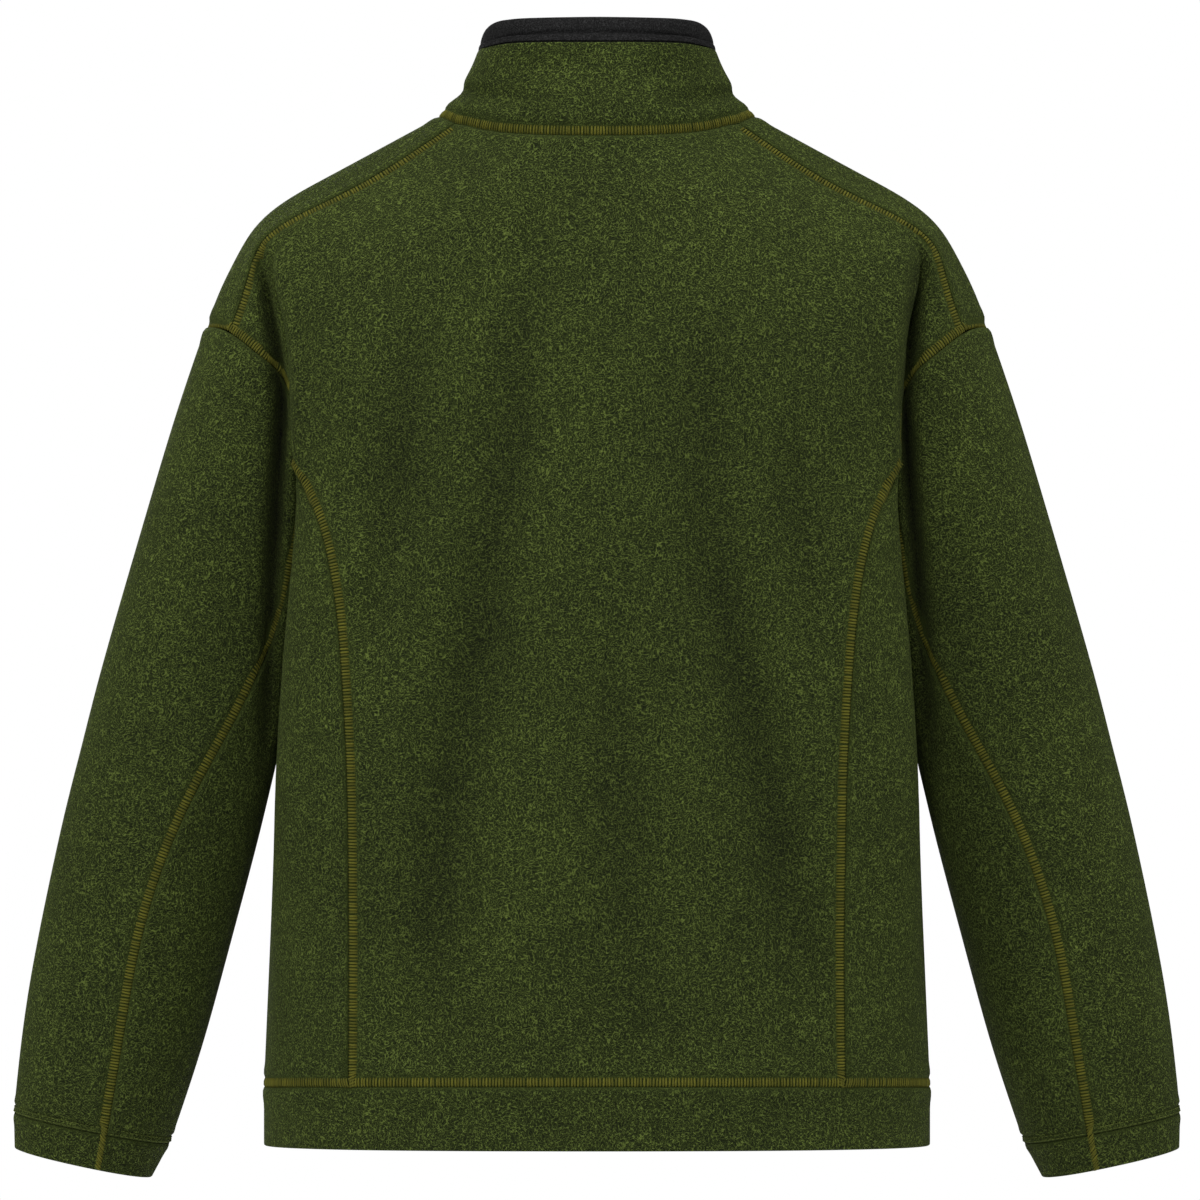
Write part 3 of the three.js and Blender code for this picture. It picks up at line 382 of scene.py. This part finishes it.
def fleece(name, valley, pile, tip, ridges, lift, sheen):
    """Brushed fleece: short curled tufts on a darker ground, combed this way and that, pressed flat at seams.
    ridges is the number of tufts in a metre and lift their height in metres."""
    material = bpy.data.materials.new(name)
    material.use_nodes = True
    tree = material.node_tree
    link = tree.links.new
    cloth_shader = tree.nodes["Principled BSDF"]
    place = shader(tree, "TexCoord").outputs["Object"]
    sway = shader(tree, "TexNoise", {"Scale": 70, "Detail": 1})
    centred = shader(tree, "VectorMath", {1: (0.5, 0.5, 0.5)}, operation="SUBTRACT")
    bent = shader(tree, "VectorMath", {1: (0.006, 0.006, 0.006)}, operation="MULTIPLY_ADD")
    link(place, sway.inputs["Vector"])
    link(sway.outputs["Color"], centred.inputs[0])
    link(centred.outputs[0], bent.inputs[0])
    link(place, bent.inputs[2])
    combed = []
    for turn, stretch in (((0.2, 0.5, 0.35), (1, 1, 0.42)), ((0.4, -0.7, 0.2), (0.42, 1, 1))):
        comb = shader(tree, "Mapping", {"Rotation": turn, "Scale": stretch})
        tufts = shader(tree, "TexNoise", {"Scale": ridges, "Detail": 1.2, "Roughness": 0.5})
        link(bent.outputs[0], comb.inputs["Vector"])
        link(comb.outputs[0], tufts.inputs["Vector"])
        combed.append(tufts.outputs["Fac"])
    swirl = shader(tree, "TexNoise", {"Scale": 60, "Detail": 0})
    either = shader(tree, "MapRange", {"From Min": 0.42, "From Max": 0.58})
    blend = shader(tree, "Mix", data_type="FLOAT")
    link(place, swirl.inputs["Vector"])
    link(swirl.outputs["Fac"], either.inputs["Value"])
    link(either.outputs[0], blend.inputs["Factor"])
    link(combed[0], blend.inputs["A"])
    link(combed[1], blend.inputs["B"])
    curls = shader(tree, "TexNoise", {"Scale": ridges * 0.47, "Detail": 0.6, "Roughness": 0.5})
    centre = shader(tree, "Math", {1: 0.5}, operation="SUBTRACT")
    line = shader(tree, "Math", operation="ABSOLUTE")
    curl = shader(tree, "MapRange", {"From Min": 0.0, "From Max": 0.11, "To Min": 1.0, "To Max": 0.0},
                  interpolation_type="SMOOTHSTEP")
    link(bent.outputs[0], curls.inputs["Vector"])
    link(curls.outputs["Fac"], centre.inputs[0])
    link(centre.outputs[0], line.inputs[0])
    link(line.outputs[0], curl.inputs["Value"])
    clump = shader(tree, "MapRange", {"From Min": 0.3, "From Max": 0.68}, interpolation_type="SMOOTHSTEP")
    link(blend.outputs["Result"], clump.inputs["Value"])
    tuft = shader(tree, "Mix", {"Factor": 0.62}, data_type="FLOAT")
    link(clump.outputs[0], tuft.inputs["A"])
    link(curl.outputs[0], tuft.inputs["B"])
    fibre = shader(tree, "TexNoise", {"Scale": ridges * 3.4, "Detail": 2})
    link(place, fibre.inputs["Vector"])
    height = shader(tree, "Math", {1: 0.3}, operation="MULTIPLY_ADD")
    link(fibre.outputs["Fac"], height.inputs[0])
    link(tuft.outputs["Result"], height.inputs[2])
    flat_seam = shader(tree, "Attribute", attribute_name="pressed")
    standing = shader(tree, "Math", {0: 1.0}, operation="SUBTRACT")
    napped = shader(tree, "Math", operation="MULTIPLY")
    link(flat_seam.outputs["Fac"], standing.inputs[1])
    link(height.outputs[0], napped.inputs[0])
    link(standing.outputs[0], napped.inputs[1])
    bump = shader(tree, "Bump", {"Strength": 1.0, "Distance": lift})
    link(napped.outputs[0], bump.inputs["Height"])
    link(bump.outputs[0], cloth_shader.inputs["Normal"])

    shades = shader(tree, "ValToRGB")
    shades.color_ramp.elements[0].position = 0.12
    shades.color_ramp.elements[0].color = valley
    shades.color_ramp.elements[1].position = 1.15 / 1.3
    shades.color_ramp.elements[1].color = tip
    shades.color_ramp.elements.new(0.52).color = pile
    lit = shader(tree, "Math", {1: 1 / 1.3}, operation="MULTIPLY")
    link(height.outputs[0], lit.inputs[0])
    link(lit.outputs[0], shades.inputs["Fac"])
    brushed = shader(tree, "TexNoise", {"Scale": 14, "Detail": 3, "Roughness": 0.6})
    brush = shader(tree, "MapRange", {"From Min": 0.3, "From Max": 0.7, "To Min": 0.86, "To Max": 1.12})
    toned = shader(tree, "Mix", {"Factor": 1.0}, data_type="RGBA", blend_type="MULTIPLY")
    ground = shader(tree, "Mix", data_type="RGBA")
    ground.inputs["B"].default_value = tuple(c * 0.62 for c in pile[:3]) + (1,)
    link(place, brushed.inputs["Vector"])
    link(brushed.outputs["Fac"], brush.inputs["Value"])
    # Painted shade: the colour darkens with the depth of the fold valleys, almost to black in the deep valleys between
    # the sleeves and the body
    deep = shader(tree, "Attribute", attribute_name="painted_fold_shade")
    shaded = shader(tree, "Math", {1: -0.29}, operation="MULTIPLY_ADD")
    link(deep.outputs["Fac"], shaded.inputs[0])
    link(brush.outputs[0], shaded.inputs[2])
    link(shades.outputs["Color"], toned.inputs["A"])
    link(shaded.outputs[0], toned.inputs["B"])
    link(flat_seam.outputs["Fac"], ground.inputs["Factor"])
    link(toned.outputs["Result"], ground.inputs["A"])
    link(ground.outputs["Result"], cloth_shader.inputs["Base Color"])
    cloth_shader.inputs["Roughness"].default_value = 0.95
    cloth_shader.inputs["Specular IOR Level"].default_value = 0.15
    cloth_shader.inputs["Sheen Weight"].default_value = sheen
    cloth_shader.inputs["Sheen Roughness"].default_value = 0.45
    cloth_shader.inputs["Sheen Tint"].default_value = tip
    return material


green_fleece = fleece("green_fleece", srgb(20, 27, 6), srgb(56, 67, 24), srgb(101, 116, 52), 1120, 0.0013, 0.26)

# The valleys where the sleeves lie against the body, as (z, x) stations in mm with their depths; the depth also sets
# painted shade that darkens them almost to black
GAP_LINES = {
    "left": ((-440, 218), (-400, 216), (-347, 214), (-294, 211), (-241, 208), (-189, 205), (-162, 207.5), (-136, 212.5),
             (-110, 217), (-84, 220), (-64, 222)),
    "right": ((-440, -219), (-400, -217), (-347, -213), (-294, -209), (-241, -204), (-189, -200.5), (-162, -204),
              (-136, -205), (-110, -208), (-84, -211), (-64, -213)),
}
GAP_DEPTHS = (0, 8, 12, 14, 15, 15, 14, 12, 8, 1.5, 0)
VALLEYS = {}
BODY_VALLEYS = ()
for side, sign in (("left", 1), ("right", -1)):
    line = GAP_LINES[side]
    VALLEYS[side] = (2, 1, tuple((z, x + 2.5 * sign, 5, deep) for (z, x), deep in zip(line, GAP_DEPTHS)))
    above = tuple((z, x + 2.5 * sign, 5, deep) for (z, x), deep in list(zip(line, GAP_DEPTHS))[5:])
    BODY_VALLEYS += ((2, 1, ((-232, line[4][1] + 2.5 * sign, 5, 0), (-214, line[5][1] + 3 * sign, 5, 15)) + above),)
    BODY_VALLEYS += ((2, 1, ((-330, line[3][1] - 7 * sign, 6, 0), (-241, line[4][1] - 7 * sign, 6, -2.4))
                      + tuple((z, x - 7 * sign, 6, -deep / 3) for (z, x), deep in list(zip(line, GAP_DEPTHS))[5:])),)
BACK_FOLDS = (
    (2, 1, ((-622, 112, 20, 0), (-581, 109, 22, 3.2), (-483, 102, 21, 5.6), (-347, 76, 18, 5.4), (-223, 57, 16, 4.6),
         (-92, 44, 15, 2.2), (-50, 37, 14, 0))),
    (2, 1, ((-360, 150, 14, 0), (-330, 146, 15, 3.2), (-255, 128, 16, 4.4), (-150, 122, 15, 2.6), (-110, 120, 15, 0))),
    (2, 1, ((-600, -136, 20, 0), (-549, -132, 21, 4), (-483, -119, 20, 5.4), (-386, -97, 18, 5), (-294, -74, 17, 4.6),
         (-190, -74, 16, 3), (-120, -72, 16, 0))),
    (2, 1, ((-370, -142, 13, 0), (-320, -139, 14, 3.2), (-236, -126, 15, 3.8), (-160, -122, 14, 0))),
    (2, 1, ((-634, -22, 26, 0), (-600, -22, 28, 2.8), (-500, -20, 24, 3), (-405, -12, 20, 2), (-330, -6, 18, 0))),
    (2, 1, ((-560, 36, 26, 0), (-440, 34, 24, -2.2), (-300, 14, 22, -2.2), (-160, -4, 20, -1.4), (-90, -6, 20, 0))),
)
BOTH_SIDES = ("left", "right")
BACK_SEAMS = {"collar_outer": "lapped", "hem_band": "stitched"}
for side in BOTH_SIDES:
    BACK_SEAMS.update({f"front_{side}": "stitched", f"side_panel_{side}": "stitched",
                       f"sleeve_upper_{side}": "stitched"})
cloth("back_panel", from_body, BACK_SEAMS, BACK_FOLDS + BODY_VALLEYS, green_fleece)

# Fronts: two mirrored pieces of the same fleece. Each wraps over the shoulder to the yoke seam on the
# back, and its straight front edge is turned in along the zip.
FRONT_FOLDS = (
    (2, -1, ((-600, 118, 20, 0), (-520, 112, 22, 4), (-400, 92, 20, 5), (-270, 76, 18, 4.2), (-150, 70, 16, 0))),
    (2, -1, ((-590, -104, 20, 0), (-500, -98, 21, 4.4), (-370, -88, 20, 4.8), (-230, -80, 17, 3.4), (-140, -74, 15, 0))),
    (2, -1, ((-380, 150, 15, 0), (-300, 142, 15, 3.4), (-200, 128, 15, 0))),
    (2, -1, ((-360, -146, 15, 0), (-270, -136, 16, 3.6), (-180, -124, 14, 0))),
)
for side in BOTH_SIDES:
    cloth(f"front_{side}", from_body,
          {"back_panel": "lapped", "collar_outer": "lapped", "hem_band": "stitched",
           f"side_panel_{side}": "stitched", f"sleeve_upper_{side}": "stitched"},
          FRONT_FOLDS, green_fleece, free_edge="one_row")

# Side panels: the underarm pieces between the princess seams of back and front.
for side in BOTH_SIDES:
    cloth(f"side_panel_{side}", from_body,
          {"back_panel": "lapped", f"front_{side}": "lapped", "hem_band": "stitched",
           f"sleeve_under_{side}": "stitched"},
          BODY_VALLEYS, green_fleece)

# Sleeves: each is cut in two, a wide upper piece and a narrow piece under the arm, and set to a dropped
# armhole. Their wrist ends are turned up and sewn with two rows.
for side in BOTH_SIDES:
    arm = from_arm(side)
    cloth(f"sleeve_upper_{side}", arm,
          {"back_panel": "lapped", f"front_{side}": "lapped", f"sleeve_under_{side}": "stitched",
           f"cuff_{side}": "double_row"},
          (VALLEYS[side],), green_fleece)
    cloth(f"sleeve_under_{side}", arm,
          {f"side_panel_{side}": "lapped", f"sleeve_upper_{side}": "lapped", f"cuff_{side}": "double_row"},
          (VALLEYS[side],), green_fleece)

# Cuffs and hem band: the same fleece folded double, with its fold at the free edge.
for side in BOTH_SIDES:
    cloth(f"cuff_{side}", from_arm(side), {f"sleeve_upper_{side}": "plain", f"sleeve_under_{side}": "plain"},
          (), green_fleece)
HEM_SEAMS = {"back_panel": "lapped"}
for side in BOTH_SIDES:
    HEM_SEAMS.update({f"front_{side}": "lapped", f"side_panel_{side}": "lapped"})
cloth("hem_band", from_body, HEM_SEAMS, (), green_fleece)

# Collar: a green stand collar with a softly rolled top edge, lined with charcoal microfleece that
# stands above it, and a narrow charcoal strip sewn over the join.


def from_neck(point):
    return Vector((point.x, point.y + 0.005, 0)).normalized()


COLLAR_FOLDS = (
    (0, 0, ((20, 8, 7, 0), (48, 9, 7, 1.6), (74, 13, 6, 3.2), (95, 17, 6, 4))),
    (0, 0, ((-95, 15, 6, 4), (-76, 11, 6, 3), (-52, 8, 7, 1.4), (-30, 7, 7, 0))),
    (0, 0, ((-14, 40, 6, 0), (12, 33, 7, 1.2), (36, 30, 7, 1.5), (58, 33, 7, 0))),
    (0, 0, ((-60, 34, 8, 0), (-40, 27, 7, 1.2), (-20, 22, 7, 0))),
)
charcoal_fleece = fleece("charcoal_microfleece", srgb(18, 18, 18), srgb(30, 30, 30), srgb(52, 52, 52), 1500, 0.0003, 0.2)
cloth("collar_outer", from_neck, {"back_panel": "stitched", "front_left": "stitched", "front_right": "stitched"},
      COLLAR_FOLDS, green_fleece)
LINING_ROW = ((0, 0, ((-74, 46, 1.4, 1), (-60, 50.5, 1.4, 1.2), (-30, 52.6, 1.4, 1.3), (30, 52.6, 1.4, 1.3),
                   (60, 50.5, 1.4, 1.2), (74, 46, 1.4, 1))),)
cloth("collar_inner", from_neck, {}, COLLAR_FOLDS + LINING_ROW, charcoal_fleece)
cloth("collar_binding", from_neck, {}, COLLAR_FOLDS, charcoal_fleece)

# Seam stitches: a wide covering stitch in mustard thread lies over every joining seam. Its rungs cross
# the seam a little over 2 mm apart, and each is a short thread that dips into the cloth at both ends.
PITCH = 2.05 * MM
THREAD = 0.74 * MM
random.seed(7)


def thread_material(name, shade, dark):
    material = bpy.data.materials.new(name)
    material.use_nodes = True
    tree = material.node_tree
    link = tree.links.new
    surface = tree.nodes["Principled BSDF"]
    place = shader(tree, "TexCoord").outputs["Object"]
    twist = shader(tree, "TexNoise", {"Scale": 1900, "Detail": 2})
    worn = shader(tree, "Attribute", attribute_name="shade")
    both = shader(tree, "Math", {1: 0.55}, operation="MULTIPLY_ADD")
    mixed = shader(tree, "Mix", data_type="RGBA")
    mixed.inputs["A"].default_value = dark
    mixed.inputs["B"].default_value = shade
    link(place, twist.inputs["Vector"])
    link(twist.outputs["Fac"], both.inputs[0])
    link(worn.outputs["Fac"], both.inputs[2])
    link(both.outputs[0], mixed.inputs["Factor"])
    link(mixed.outputs["Result"], surface.inputs["Base Color"])
    bump = shader(tree, "Bump", {"Strength": 0.5, "Distance": 0.0002})
    link(twist.outputs["Fac"], bump.inputs["Height"])
    link(bump.outputs[0], surface.inputs["Normal"])
    surface.inputs["Roughness"].default_value = 0.8
    surface.inputs["Specular IOR Level"].default_value = 0.15
    return material


mustard_thread = thread_material("mustard_thread", srgb(96, 95, 30), srgb(50, 54, 14))

bm = bmesh.new()
bmesh.ops.create_cone(bm, cap_ends=True, segments=5, radius1=1, radius2=1, depth=1)
lengthwise = [e for e in bm.edges if abs(e.verts[0].co.z - e.verts[1].co.z) > 0.5]
bmesh.ops.subdivide_edges(bm, edges=lengthwise, cuts=2)
bm.verts.ensure_lookup_table()
thread_points = np.array([v.co[:] for v in bm.verts])
thread_faces = [[v.index for v in f.verts] for f in bm.faces]
bm.free()


def threads(name, strands, thick, material, beds=()):
    """Many short threads as one mesh. Each strand is four points, with the two ways across it. A bed is a flat strip
    of matted thread under a band, given as rings of four points."""
    share = (thread_points[:, 2] + 0.5) * 3
    low = np.clip(np.floor(share).astype(int), 0, 2)
    taper = np.where((share < 0.5) | (share > 2.5), 0.7, 1.0)[:, None]
    part = (share - low)[:, None]
    points = []
    faces = []
    shades = []
    for line, along, up in strands:
        middle = line[low] * (1 - part) + line[low + 1] * part
        ring = thread_points[:, :1] * along + thread_points[:, 1:2] * up * 0.7
        faces += [[i + len(points) for i in face] for face in thread_faces]
        points += (middle + ring * thick * taper).tolist()
        shades += [random.uniform(0.15, 0.75)] * len(thread_points)
    for rings in beds:
        first = len(points)
        for k in range(len(rings) - 1):
            a = first + 4 * k
            faces += [[a + i, a + (i + 1) % 4, a + 4 + (i + 1) % 4, a + 4 + i] for i in range(4)]
        last = first + 4 * (len(rings) - 1)
        faces += [[first + 3, first + 2, first + 1, first], [last, last + 1, last + 2, last + 3]]
        points += [corner for ring in rings for corner in ring]
        shades += [0.0] * (4 * len(rings))
    mesh = bpy.data.meshes.new(name)
    mesh.from_pydata(points, [], faces)
    mesh.attributes.new("shade", "FLOAT", "POINT").data.foreach_set("value", shades)
    mesh.shade_smooth()
    mesh.materials.append(material)
    piece = new_piece(name, mesh)
    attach(piece, "jacket")
    return piece


def seam_runs(node, neighbours):
    """The stretches of a panel's rim that lie along the named neighbours, longest loops unrolled."""
    found = []
    for loop in rims[node]["loops"]:
        near = [p[3] in neighbours for p in loop]
        if not any(near):
            continue
        count = len(loop)
        hits = [near[i] or any(near[i - k] for k in (1, 2, 3)) and any(near[(i + k) % count] for k in (1, 2, 3))
                for i in range(count)]
        start = next((i for i in range(len(loop)) if hits[i] and not hits[i - 1]), 0)
        run = []
        for k in range(len(loop)):
            i = (start + k) % len(loop)
            if hits[i]:
                run.append(loop[i])
            if not hits[i] or k == len(loop) - 1:
                if len(run) > 7:
                    found.append(run)
                run = []
    return found


# Where the four points of a rung lie: distance from the seam line and height over the cloth, in mm
RUNG = ((-0.5, -0.35), (1.3, 0.42), (3.6, 0.42), (5.7, -0.3))
BED = ((-1.7, 1.0), (1.7, 1.0), (1.7, 1.5), (-1.7, 1.5))
OVER_CUFF = 25
RUN_END = 5 * MM


def cover_stitch(name, rows, over=None, early=0):
    """Rungs along the seams of the panels in rows, each a panel and the neighbours it is sewn to. With over, the
    band runs on past the lower end of the seam to the free edge of that piece, and early is how many mm above its
    upper end it starts."""
    strands = []
    beds = []
    for node, neighbours in rows:
        surfaces = [rims[other]["surface"] for other in {n for n, beside in rows} | ({over} if over else set())]
        for run in seam_runs(node, neighbours):
            run = run if run[-1][0].z < run[0][0].z else run[::-1]
            if over:
                last, onward = run[-1], (run[-1][0] - run[-6][0]).normalized()
                run = run + [(last[0] + onward * k * MM, last[1], last[2], None) for k in range(1, OVER_CUFF)]
            points = np.array([p[0][:] for p in run])
            gaps = np.linalg.norm(np.diff(points, axis=0), axis=1)
            far = np.concatenate([[0], np.cumsum(gaps)])
            sewn = far[-1] - (OVER_CUFF * MM if over else 0)
            outs = np.array([p[1][:] for p in run])
            ins = np.array([p[2][:] for p in run])
            bed = []
            for d in np.arange(-RUN_END / 2 - early * MM, far[-1] + RUN_END / 2, PITCH):
                d += random.uniform(-0.12, 0.12) * PITCH
                steady = min(max(d, RUN_END), far[-1] - RUN_END)
                at, ahead, behind = (np.array([np.interp(x, far, points[:, i]) for i in range(3)])
                                     for x in (steady, steady + RUN_END / 2, steady - RUN_END / 2))
                out, inward = (np.array([np.interp(steady, far, a[:, i]) for i in range(3)]) for a in (outs, ins))
                onward = ahead - behind
                at = at + onward / np.linalg.norm(onward) * (d - steady)
                out /= np.linalg.norm(out)
                inward -= out * inward.dot(out)
                inward /= np.linalg.norm(inward)
                along = np.cross(out, inward)
                slant = random.uniform(-0.25, 0.25) * MM
                line = []
                for distance, height in RUNG:
                    flat_point = at + inward * distance * MM + out * 0.8 * MM
                    hits = [surface.find_nearest(Vector(flat_point), 6 * MM) for surface in surfaces]
                    hits = [(hit[3], tuple(hit[0])) for hit in hits if hit[0] is not None]
                    on_cloth = hits and (distance > 0 or d > sewn)
                    base = np.array(min(hits)[1]) if on_cloth else flat_point - out * 0.8 * MM
                    line.append(base + out * height * MM + along * slant * distance / 5)
                strands.append((np.array(line), along, out))
                if 0 <= d <= sewn:
                    bed.append([(at + inward * a * MM - out * b * MM).tolist() for a, b in BED])
            if len(bed) > 1:
                beds.append(bed)
    return threads(name, strands, THREAD, mustard_thread, beds)


cover_stitch("stitches_neck", [("collar_outer", ("back_panel", "front_left", "front_right"))])
cover_stitch("stitches_hem", [(n, ("hem_band",)) for n in ("back_panel", "front_left", "front_right",
                                                           "side_panel_left", "side_panel_right")])
for side in BOTH_SIDES:
    cover_stitch(f"stitches_yoke_{side}", [("back_panel", (f"front_{side}",))])
    cover_stitch(f"stitches_armhole_{side}", [("back_panel", (f"sleeve_upper_{side}",)),
                                              (f"front_{side}", (f"sleeve_upper_{side}",)),
                                              (f"side_panel_{side}", (f"sleeve_under_{side}",))])
    cover_stitch(f"stitches_princess_{side}", [("back_panel", (f"side_panel_{side}",)),
                                               (f"front_{side}", (f"side_panel_{side}",))], early=12)
    cover_stitch(f"stitches_sleeve_{side}", [(f"sleeve_upper_{side}", (f"sleeve_under_{side}",))], f"cuff_{side}")


def plain_stitch(name, rows):
    """Straight rows of stitches in green thread, at a distance (in mm) from the edges of the panels in rows."""
    strands = []
    for node, neighbours, distance in rows:
        surface = rims[node]["surface"]
        for run in seam_runs(node, neighbours):
            line = []
            for point, out, inward, neighbour in run:
                hit, normal, face, far = surface.find_nearest(point + inward * distance * MM, 6 * MM)
                if hit is not None:
                    line.append((hit, out))
            points = np.array([p[0][:] for p in line])
            far = np.concatenate([[0], np.cumsum(np.linalg.norm(np.diff(points, axis=0), axis=1))])
            outs = np.array([p[1][:] for p in line])
            for d in np.arange(1 * MM, far[-1] - 3 * MM, 3.4 * MM):
                strand = np.array([[np.interp(d + k * 0.9 * MM, far, points[:, i]) for i in range(3)] for k in range(4)])
                out = np.array([np.interp(d, far, outs[:, i]) for i in range(3)])
                out /= np.linalg.norm(out)
                strand += np.outer((-0.1, 0.35, 0.35, -0.1), out) * MM
                along = strand[3] - strand[0]
                along /= np.linalg.norm(along)
                strands.append((strand, np.cross(along, out), out))
    return threads(name, strands, 0.3 * MM, green_thread)


# Plain rows: green thread, one row along each front edge and two above each cuff
green_thread = thread_material("green_thread", srgb(92, 102, 46), srgb(44, 52, 18))
for side in BOTH_SIDES:
    plain_stitch(f"rows_front_{side}", [(f"front_{side}", (None,), 6.6)])
    plain_stitch(f"rows_cuff_{side}", [(f"sleeve_{part}_{side}", (f"cuff_{side}",), distance)
                                       for part in ("upper", "under") for distance in (1.2, 4.6)])

# Zip tapes: two narrow black woven tapes, sewn behind the front edges from the collar to the hem.
tape_weave = bpy.data.materials.new("tape_weave")
tape_weave.use_nodes = True
tree = tape_weave.node_tree
link = tree.links.new
place = shader(tree, "TexCoord").outputs["Object"]
ribs = shader(tree, "TexWave", {"Scale": 420, "Distortion": 0.6, "Detail": 1}, wave_type="BANDS",
              bands_direction="DIAGONAL")
yarn = shader(tree, "TexNoise", {"Scale": 2600, "Detail": 2})
woven = shader(tree, "Math", operation="MULTIPLY")
shades = shader(tree, "ValToRGB")
shades.color_ramp.elements[0].color = srgb(12, 12, 12)
shades.color_ramp.elements[1].color = srgb(44, 44, 44)
bump = shader(tree, "Bump", {"Strength": 0.6, "Distance": 0.0003})
link(place, ribs.inputs["Vector"])
link(place, yarn.inputs["Vector"])
link(ribs.outputs["Fac"], woven.inputs[0])
link(yarn.outputs["Fac"], woven.inputs[1])
link(woven.outputs[0], shades.inputs["Fac"])
link(woven.outputs[0], bump.inputs["Height"])
link(shades.outputs["Color"], tree.nodes["Principled BSDF"].inputs["Base Color"])
link(bump.outputs[0], tree.nodes["Principled BSDF"].inputs["Normal"])
tree.nodes["Principled BSDF"].inputs["Roughness"].default_value = 0.85
for side in BOTH_SIDES:
    cloth(f"zip_tape_{side}", from_body, {}, (), tape_weave)

# Zip teeth: a closed black nylon coil. Its loops come from both sides in turn and hook past the middle.
coil = bpy.data.materials.new("nylon_coil")
coil.use_nodes = True
tree = coil.node_tree
link = tree.links.new
place = shader(tree, "TexCoord").outputs["Object"]
scuffs = shader(tree, "TexNoise", {"Scale": 900, "Detail": 2})
shades = shader(tree, "ValToRGB")
shades.color_ramp.elements[0].color = srgb(16, 16, 16)
shades.color_ramp.elements[1].color = srgb(40, 40, 40)
link(place, scuffs.inputs["Vector"])
link(scuffs.outputs["Fac"], shades.inputs["Fac"])
link(shades.outputs["Color"], tree.nodes["Principled BSDF"].inputs["Base Color"])
tree.nodes["Principled BSDF"].inputs["Roughness"].default_value = 0.38


def hard_piece(node, body, material, inset, rounding):
    """A small hard part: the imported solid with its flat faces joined, drawn in a little and its edges rounded."""
    bm = bmesh.new()
    bm.from_mesh(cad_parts[node].data)
    bmesh.ops.remove_doubles(bm, verts=bm.verts, dist=0.002 * MM)
    bmesh.ops.dissolve_limit(bm, angle_limit=math.radians(4), verts=bm.verts, edges=bm.edges)
    bm.normal_update()
    for vert in list(bm.verts):
        vert.co -= vert.normal * inset * MM
    if rounding:
        edges = [e for e in bm.edges if e.calc_face_angle(0) > math.radians(30)]
        bmesh.ops.bevel(bm, geom=edges, offset=rounding * MM, offset_type="OFFSET", segments=2, profile=0.6,
                        affect="EDGES", clamp_overlap=True)
    mesh = bpy.data.meshes.new(node + "_round")
    bm.to_mesh(mesh)
    bm.free()
    piece = new_piece(node + "_round", mesh)
    mesh.shade_smooth()
    mesh.set_sharp_from_angle(angle=math.radians(40))
    mesh.materials.append(material)
    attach(piece, body)
    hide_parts(node)
    return piece


hard_piece("zip_chain", "jacket", coil, 0.45, 0)
corners = sorted({(round(v.co.z, 6), round(v.co.y, 6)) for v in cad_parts["zip_chain"].data.vertices})
CHAIN_HALF = 1.3
nearest = KDTree(len(corners))
for i, (z, y) in enumerate(corners):
    nearest.insert((0, y, z), i)
nearest.balance()
spine = set()
for z, y in corners:
    for point, i, distance in nearest.find_range((0, y, z), 2.8 * MM):
        if abs(distance - 2 * CHAIN_HALF * MM) < 0.12 * MM:
            spine.add((round((point.z + z) / 2, 5), round((point.y + y) / 2, 5)))
spine = np.array(sorted(spine))
steps = np.linalg.norm(np.diff(spine, axis=0), axis=1)
far = np.concatenate([[0], np.cumsum(steps)])
loops = []
for count, d in enumerate(np.arange(0.6 * MM, far[-1] - 0.4 * MM, 0.8 * MM)):
    z, y = (np.interp(d, far, spine[:, i]) for i in (0, 1))
    ahead = [np.interp(d + 0.4 * MM, far, spine[:, i]) - np.interp(d - 0.4 * MM, far, spine[:, i]) for i in (0, 1)]
    run = np.array([0, ahead[1], ahead[0]]) / np.hypot(*ahead)
    out = np.cross(run, (1, 0, 0))
    way = 1 if count % 2 else -1
    for face in (1, -1):
        line = [np.array([way * x * MM, y, z]) + out * face * h * MM
                for x, h in ((2.7, 0.55), (1.6, 0.88), (0.2, 0.92), (-0.9, 0.6))]
        loops.append((np.array(line), run, out * face))
threads("zip_coil", loops, 0.42 * MM, coil)

# Slider, box and pull: dark plated metal. The slider is parked at the top of the closed zip, the box holds
# the lower ends, and the pull hangs from the slider's bridge.
plate = bpy.data.materials.new("dark_plate")
plate.use_nodes = True
tree = plate.node_tree
link = tree.links.new
place = shader(tree, "TexCoord").outputs["Object"]
wear = shader(tree, "TexNoise", {"Scale": 500, "Detail": 4})
rough = shader(tree, "MapRange", {"To Min": 0.28, "To Max": 0.5})
shades = shader(tree, "ValToRGB")
shades.color_ramp.elements[0].color = srgb(44, 44, 46)
shades.color_ramp.elements[1].color = srgb(78, 78, 80)
link(place, wear.inputs["Vector"])
link(wear.outputs["Fac"], rough.inputs["Value"])
link(wear.outputs["Fac"], shades.inputs["Fac"])
link(shades.outputs["Color"], tree.nodes["Principled BSDF"].inputs["Base Color"])
link(rough.outputs[0], tree.nodes["Principled BSDF"].inputs["Roughness"])
tree.nodes["Principled BSDF"].inputs["Metallic"].default_value = 0.9
hard_piece("zip_slider", "jacket", plate, 0, 0.18)
hard_piece("zip_box", "jacket", plate, 0, 0.3)
hard_piece("zip_pull", "pull_tab", plate, 0, 0.14)
